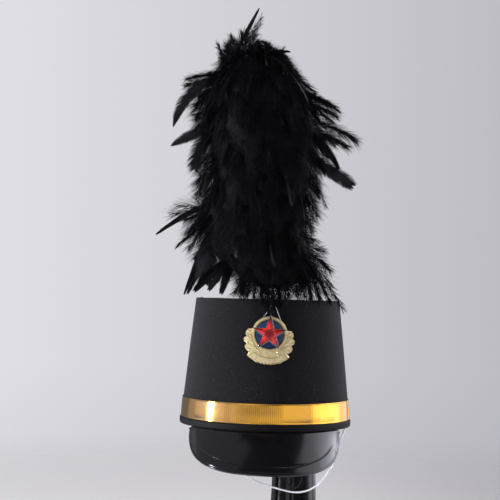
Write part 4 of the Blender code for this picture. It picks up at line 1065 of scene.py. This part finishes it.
def makeStand(look):
    low, high, edge = look["columnLow"], look["columnHigh"], look["edge"]
    heights = np.linspace(high - edge, low + edge, look["columnRows"])
    top, bottom = ([(0.02, z), (columnRadius(z) * 0.6, z), (columnRadius(z) - edge, z)] for z in (high, low))
    column = top + [(columnRadius(z), z) for z in heights] + bottom[::-1]
    foot = discProfile(look["footRadius"], 0.0, look["footThick"])
    head = discProfile(look["headRadius"], look["headLow"], look["headThick"])
    for name, profile, steps in (("foot", foot, 192), ("head", head, 128), ("column", column, 160)):
        points, faces = turnedShape(profile, steps, (look["x"], 0.0))
        addPiece("lacquered_" + name, (points - (0, 0, hemHeight), faces), "lacquer",
                 "stand_" + name, sharp=40)


def makeRack(look):
    low, high = look["columnLow"] + look["rackInset"], look["columnHigh"] - look["rackInset"]
    count = int((high - low) / look["toothPitch"])
    pitch, deep, half = (high - low) / count, look["rackDepth"], look["rackWidth"] / 2
    comb = [(deep - look["toothDepth"] * cut, low + (high - low) * tooth / count + share * pitch)
            for tooth in range(count) for share, cut in look["tooth"]]
    rows = []
    for out, height in comb + [(deep - look["toothDepth"], high)]:
        start = columnRadius(height) + 0.3
        end = start + out
        rows += [(start, -half, height), (end - 0.2, -half, height), (end, -half + 0.2, height),
                 (end, half - 0.2, height), (end - 0.2, half, height), (start, half, height)]
    spin = np.array(Matrix.Rotation(look["rackTurn"], 3, "Z"))
    points = np.array(rows) @ spin.T + (look["x"], 0, -hemHeight)
    addPiece("toothed_rack", (points, cappedFaces(len(comb) + 1, 6)), "nylon", "stand_rack",
             smooth=False)


makeStand(standLook)
makeRack(standLook)
print("stand made")

studio = {
    # azimuths in degrees from the camera's side towards +X; places and sizes in metres
    "lights": (
        {"name": "left_softbox", "azimuth": -78, "away": 1.7, "middle": 0.85, "wide": 0.6, "tall": 1.8,
         "radiance": 8.0, "tint": "#ffffff"},
        {"name": "right_softbox", "azimuth": 80, "away": 2.0, "middle": 1.1, "wide": 1.2, "tall": 1.4,
         "radiance": 1.2, "tint": "#f6f6ff"},
        {"name": "cord_fill", "azimuth": 52, "away": 1.1, "middle": 0.06, "wide": 0.1, "tall": 0.1,
         "radiance": 0.6, "tint": "#ffffff", "aim": (0.080, -0.043, 0.090), "spread": 5},
    ),
    # what shiny things mirror: azimuth and elevation from and to, radiance at its foot and top, soft edge
    "panels": (
        (-180, -132, -14, 26, 0.16, 0.02, 1.5), (-132, -114, -14, 26, 0.26, 0.34, 1.5),
        (150, 180, -14, 26, 0.30, 0.30, 2.0), (-114, -91, -3.2, 11, 0.50, 0.50, 1.0),
        (-91, -76, -3.2, 11, 0.60, 0.60, 1.0), (-85.4, -79.6, -2.1, 12, 105.0, 105.0, 1.4),
        (-150, -58, 11, 80, 0.19, 0.23, 8.0), (-78, -56, -3.2, 18, 0.60, 0.60, 1.0),
        (-56, -30, -3.2, 18, 0.40, 0.40, 1.0), (-30, -20, -3.2, 20, 0.90, 0.7, 1.0),
        (-22, 69, -2.2, 20, 0.66, 0.55, 1.0), (20, 69, -2.2, 20, 0.86, 0.72, 1.0),
        (-48, 66, 18, 47, 0.45, 0.30, 6.0), (69, 86, -3.2, 61, 1.80, 0.70, 6.0),
        (82, 114, -3.2, 61, 2.05, 0.70, 1.5), (84, 114, -14, -3, 1.2, 1.2, 1.5),
        (110, 126, -5.5, 61, 1.94, 0.70, 1.0), (126, 152, -7, 61, 1.15, 0.60, 1.0),
        (112, 165, -14, 0, 0.20, 0.20, 3.0), (98, 152, 9, 58, 3.4, 0.70, 8.0),
        (-40, -21, -16, -4.6, 0.70, 0.70, 1.5), (-8, -1, -16, -4.6, 1.0, 1.0, 1.5),
        (-170, -6, -75, -18, 1.1, 1.1, 8.0), (20, 175, -75, -18, 0.8, 0.8, 8.0),
    ),
    # a dark card at the camera: from, to and soft edge
    "blackCard": {"azimuth": (-24, 18, 9.0), "elevation": (0.6, 7.6, 4.0), "dims": 0.42},
    # the backdrop's left and right colours and its darker foot are painted shade
    "world": {"left": "#dedee4", "right": "#bcbbc1", "foot": 0.89, "dark": 0.035, "blue": 1.12,
              "sideWide": 0.14, "footFrom": -0.15, "footTo": -0.075},
    # the floor's middle, left and right colours are painted shade of the softboxes
    "floor": {"radius": 3.2, "fadeFrom": 0.35, "fadeTo": 1.3, "middle": "#e8e5e3", "left": "#e0dedd",
              "right": "#c9c7c6", "sideWide": 0.1, "edgeFrom": 0.05, "edgeTo": 0.4},
}


def makeLight(look):
    data = bpy.data.lights.new(look["name"], "AREA")
    data.shape = "RECTANGLE"
    data.size, data.size_y = look["wide"], look["tall"]
    data.energy = 4 * look["radiance"] * look["wide"] * look["tall"]
    data.color = linear(look["tint"])[:3]
    data.spread = math.radians(look.get("spread", 180))
    light = bpy.data.objects.new(look["name"], data)
    scene.collection.objects.link(light)
    turn, away = math.radians(look["azimuth"]), look["away"]
    light.location = Vector((math.sin(turn) * away, -math.cos(turn) * away, look["middle"]))
    aim = Vector(look.get("aim", (0, 0, 0.35))) - light.location
    light.rotation_euler = aim.to_track_quat("-Z", "Y").to_euler()
    light.visible_camera = light.visible_glossy = False


def windowOf(tree, azimuth, elevation, spanAcross, spanUp):
    # 1 in a window of the sky and 0 outside it; a span is from, to and the width of its soft edge
    edges = []
    for value, (low, high, soft) in ((azimuth, spanAcross), (elevation, spanUp)):
        edges += [addNode(tree, "MapRange", [value, low - soft / 2, low + soft / 2]),
                  addNode(tree, "MapRange", [value, high - soft / 2, high + soft / 2, 1.0, 0.0])]
    inside = edges[0]
    for edge in edges[1:]:
        inside = addNode(tree, "Math", [inside, edge], operation="MULTIPLY")
    return inside


def makeWorld(look, panels, card):
    scene.world = bpy.data.worlds.new("studio")
    scene.world.use_nodes = True
    tree = scene.world.node_tree
    way = addNode(tree, "TexCoord", out="Generated")
    x, y, z = addNode(tree, "SeparateXYZ", [way]).node.outputs
    # the backdrop seen by the camera is painted shade: darker on the right than the left, and darker towards
    # its foot
    side = addNode(tree, "MapRange", [x, -look["sideWide"], look["sideWide"]])
    paper = addNode(tree, "Mix", {0: side, 6: look["left"], 7: look["right"]}, 2, data_type="RGBA")
    foot = addNode(tree, "MapRange", [z, look["footFrom"], look["footTo"], look["foot"], 1.0])
    paper = addNode(tree, "Mix", {0: foot, 6: "#000000", 7: paper}, 2, data_type="RGBA")
    behind = addNode(tree, "Math", [y, -1.0], operation="MULTIPLY")
    turn = addNode(tree, "Math", [x, behind], operation="ARCTAN2")
    climb = addNode(tree, "Math", [z], operation="ARCSINE")
    azimuth, elevation = (addNode(tree, "Math", [angle], operation="DEGREES") for angle in (turn, climb))
    lit = look["dark"]
    for start, end, low, high, atFoot, atTop, soft in panels:
        inside = windowOf(tree, azimuth, elevation, (start, end, soft), (low, high, soft))
        radiance = addNode(tree, "MapRange", [elevation, low, high, atFoot, atTop])
        panel = addNode(tree, "Math", [inside, radiance], operation="MULTIPLY")
        lit = addNode(tree, "Math", [panel, lit], operation="MAXIMUM")
    hidden = windowOf(tree, azimuth, elevation, card["azimuth"], card["elevation"])
    left = addNode(tree, "MapRange", [hidden, 0.0, 1.0, 1.0, card["dims"]])
    lit = addNode(tree, "Math", [lit, left], operation="MULTIPLY")
    blue = addNode(tree, "Math", [lit, look["blue"]], operation="MULTIPLY")
    room = addNode(tree, "CombineColor", [lit, lit, blue])
    seen = addNode(tree, "LightPath", out="Is Camera Ray")
    colour = addNode(tree, "Mix", {0: seen, 6: room, 7: paper}, 2, data_type="RGBA")
    feed(tree, tree.nodes["Background"], {"Color": colour, "Strength": 1.0})


def makeFloor(look, count=96):
    # a round sheet of paper that fades into the backdrop; shiny things don't mirror it; its colour is painted
    # shade, paler in the middle, darker to the left and darker still to the right
    turns = np.linspace(0, 2 * math.pi, count, endpoint=False)
    mesh = bpy.data.meshes.new("studio_floor")
    ring = [(look["radius"] * math.cos(t), look["radius"] * math.sin(t), 0.0) for t in turns]
    mesh.from_pydata(ring, [], [tuple(range(count))])
    material = bpy.data.materials.new("pale_paper_floor")
    material.use_nodes = True
    tree = material.node_tree
    shader = tree.nodes["Principled BSDF"]
    place = addNode(tree, "TexCoord", out="Object")
    x = addNode(tree, "SeparateXYZ", [place], "X")
    side = addNode(tree, "MapRange", [x, -look["sideWide"], look["sideWide"]])
    side = addNode(tree, "Mix", {0: side, 6: look["left"], 7: look["right"]}, 2, data_type="RGBA")
    away = addNode(tree, "Math", [x], operation="ABSOLUTE")
    edge = addNode(tree, "MapRange", [away, look["edgeFrom"], look["edgeTo"]])
    paper = addNode(tree, "Mix", {0: edge, 6: look["middle"], 7: side}, 2, data_type="RGBA")
    feed(tree, shader, {"Base Color": paper, "Roughness": 0.8})
    out = addNode(tree, "VectorMath", [place], "Value", operation="LENGTH")
    gone = addNode(tree, "MapRange", [out, look["fadeFrom"], look["fadeTo"]], interpolation_type="SMOOTHSTEP")
    mirrored = addNode(tree, "LightPath", out="Is Glossy Ray")
    share = addNode(tree, "Math", [gone, mirrored], operation="MAXIMUM")
    clear = addNode(tree, "BsdfTransparent")
    mix = addNode(tree, "MixShader", [share, shader.outputs[0], clear])
    feed(tree, tree.nodes["Material Output"], {"Surface": mix})
    mesh.materials.append(material)
    floor = bpy.data.objects.new("studio_floor", mesh)
    scene.collection.objects.link(floor)


for light in studio["lights"]:
    makeLight(light)
makeWorld(studio["world"], studio["panels"], studio["blackCard"])
makeFloor(studio["floor"])
print("studio lit")
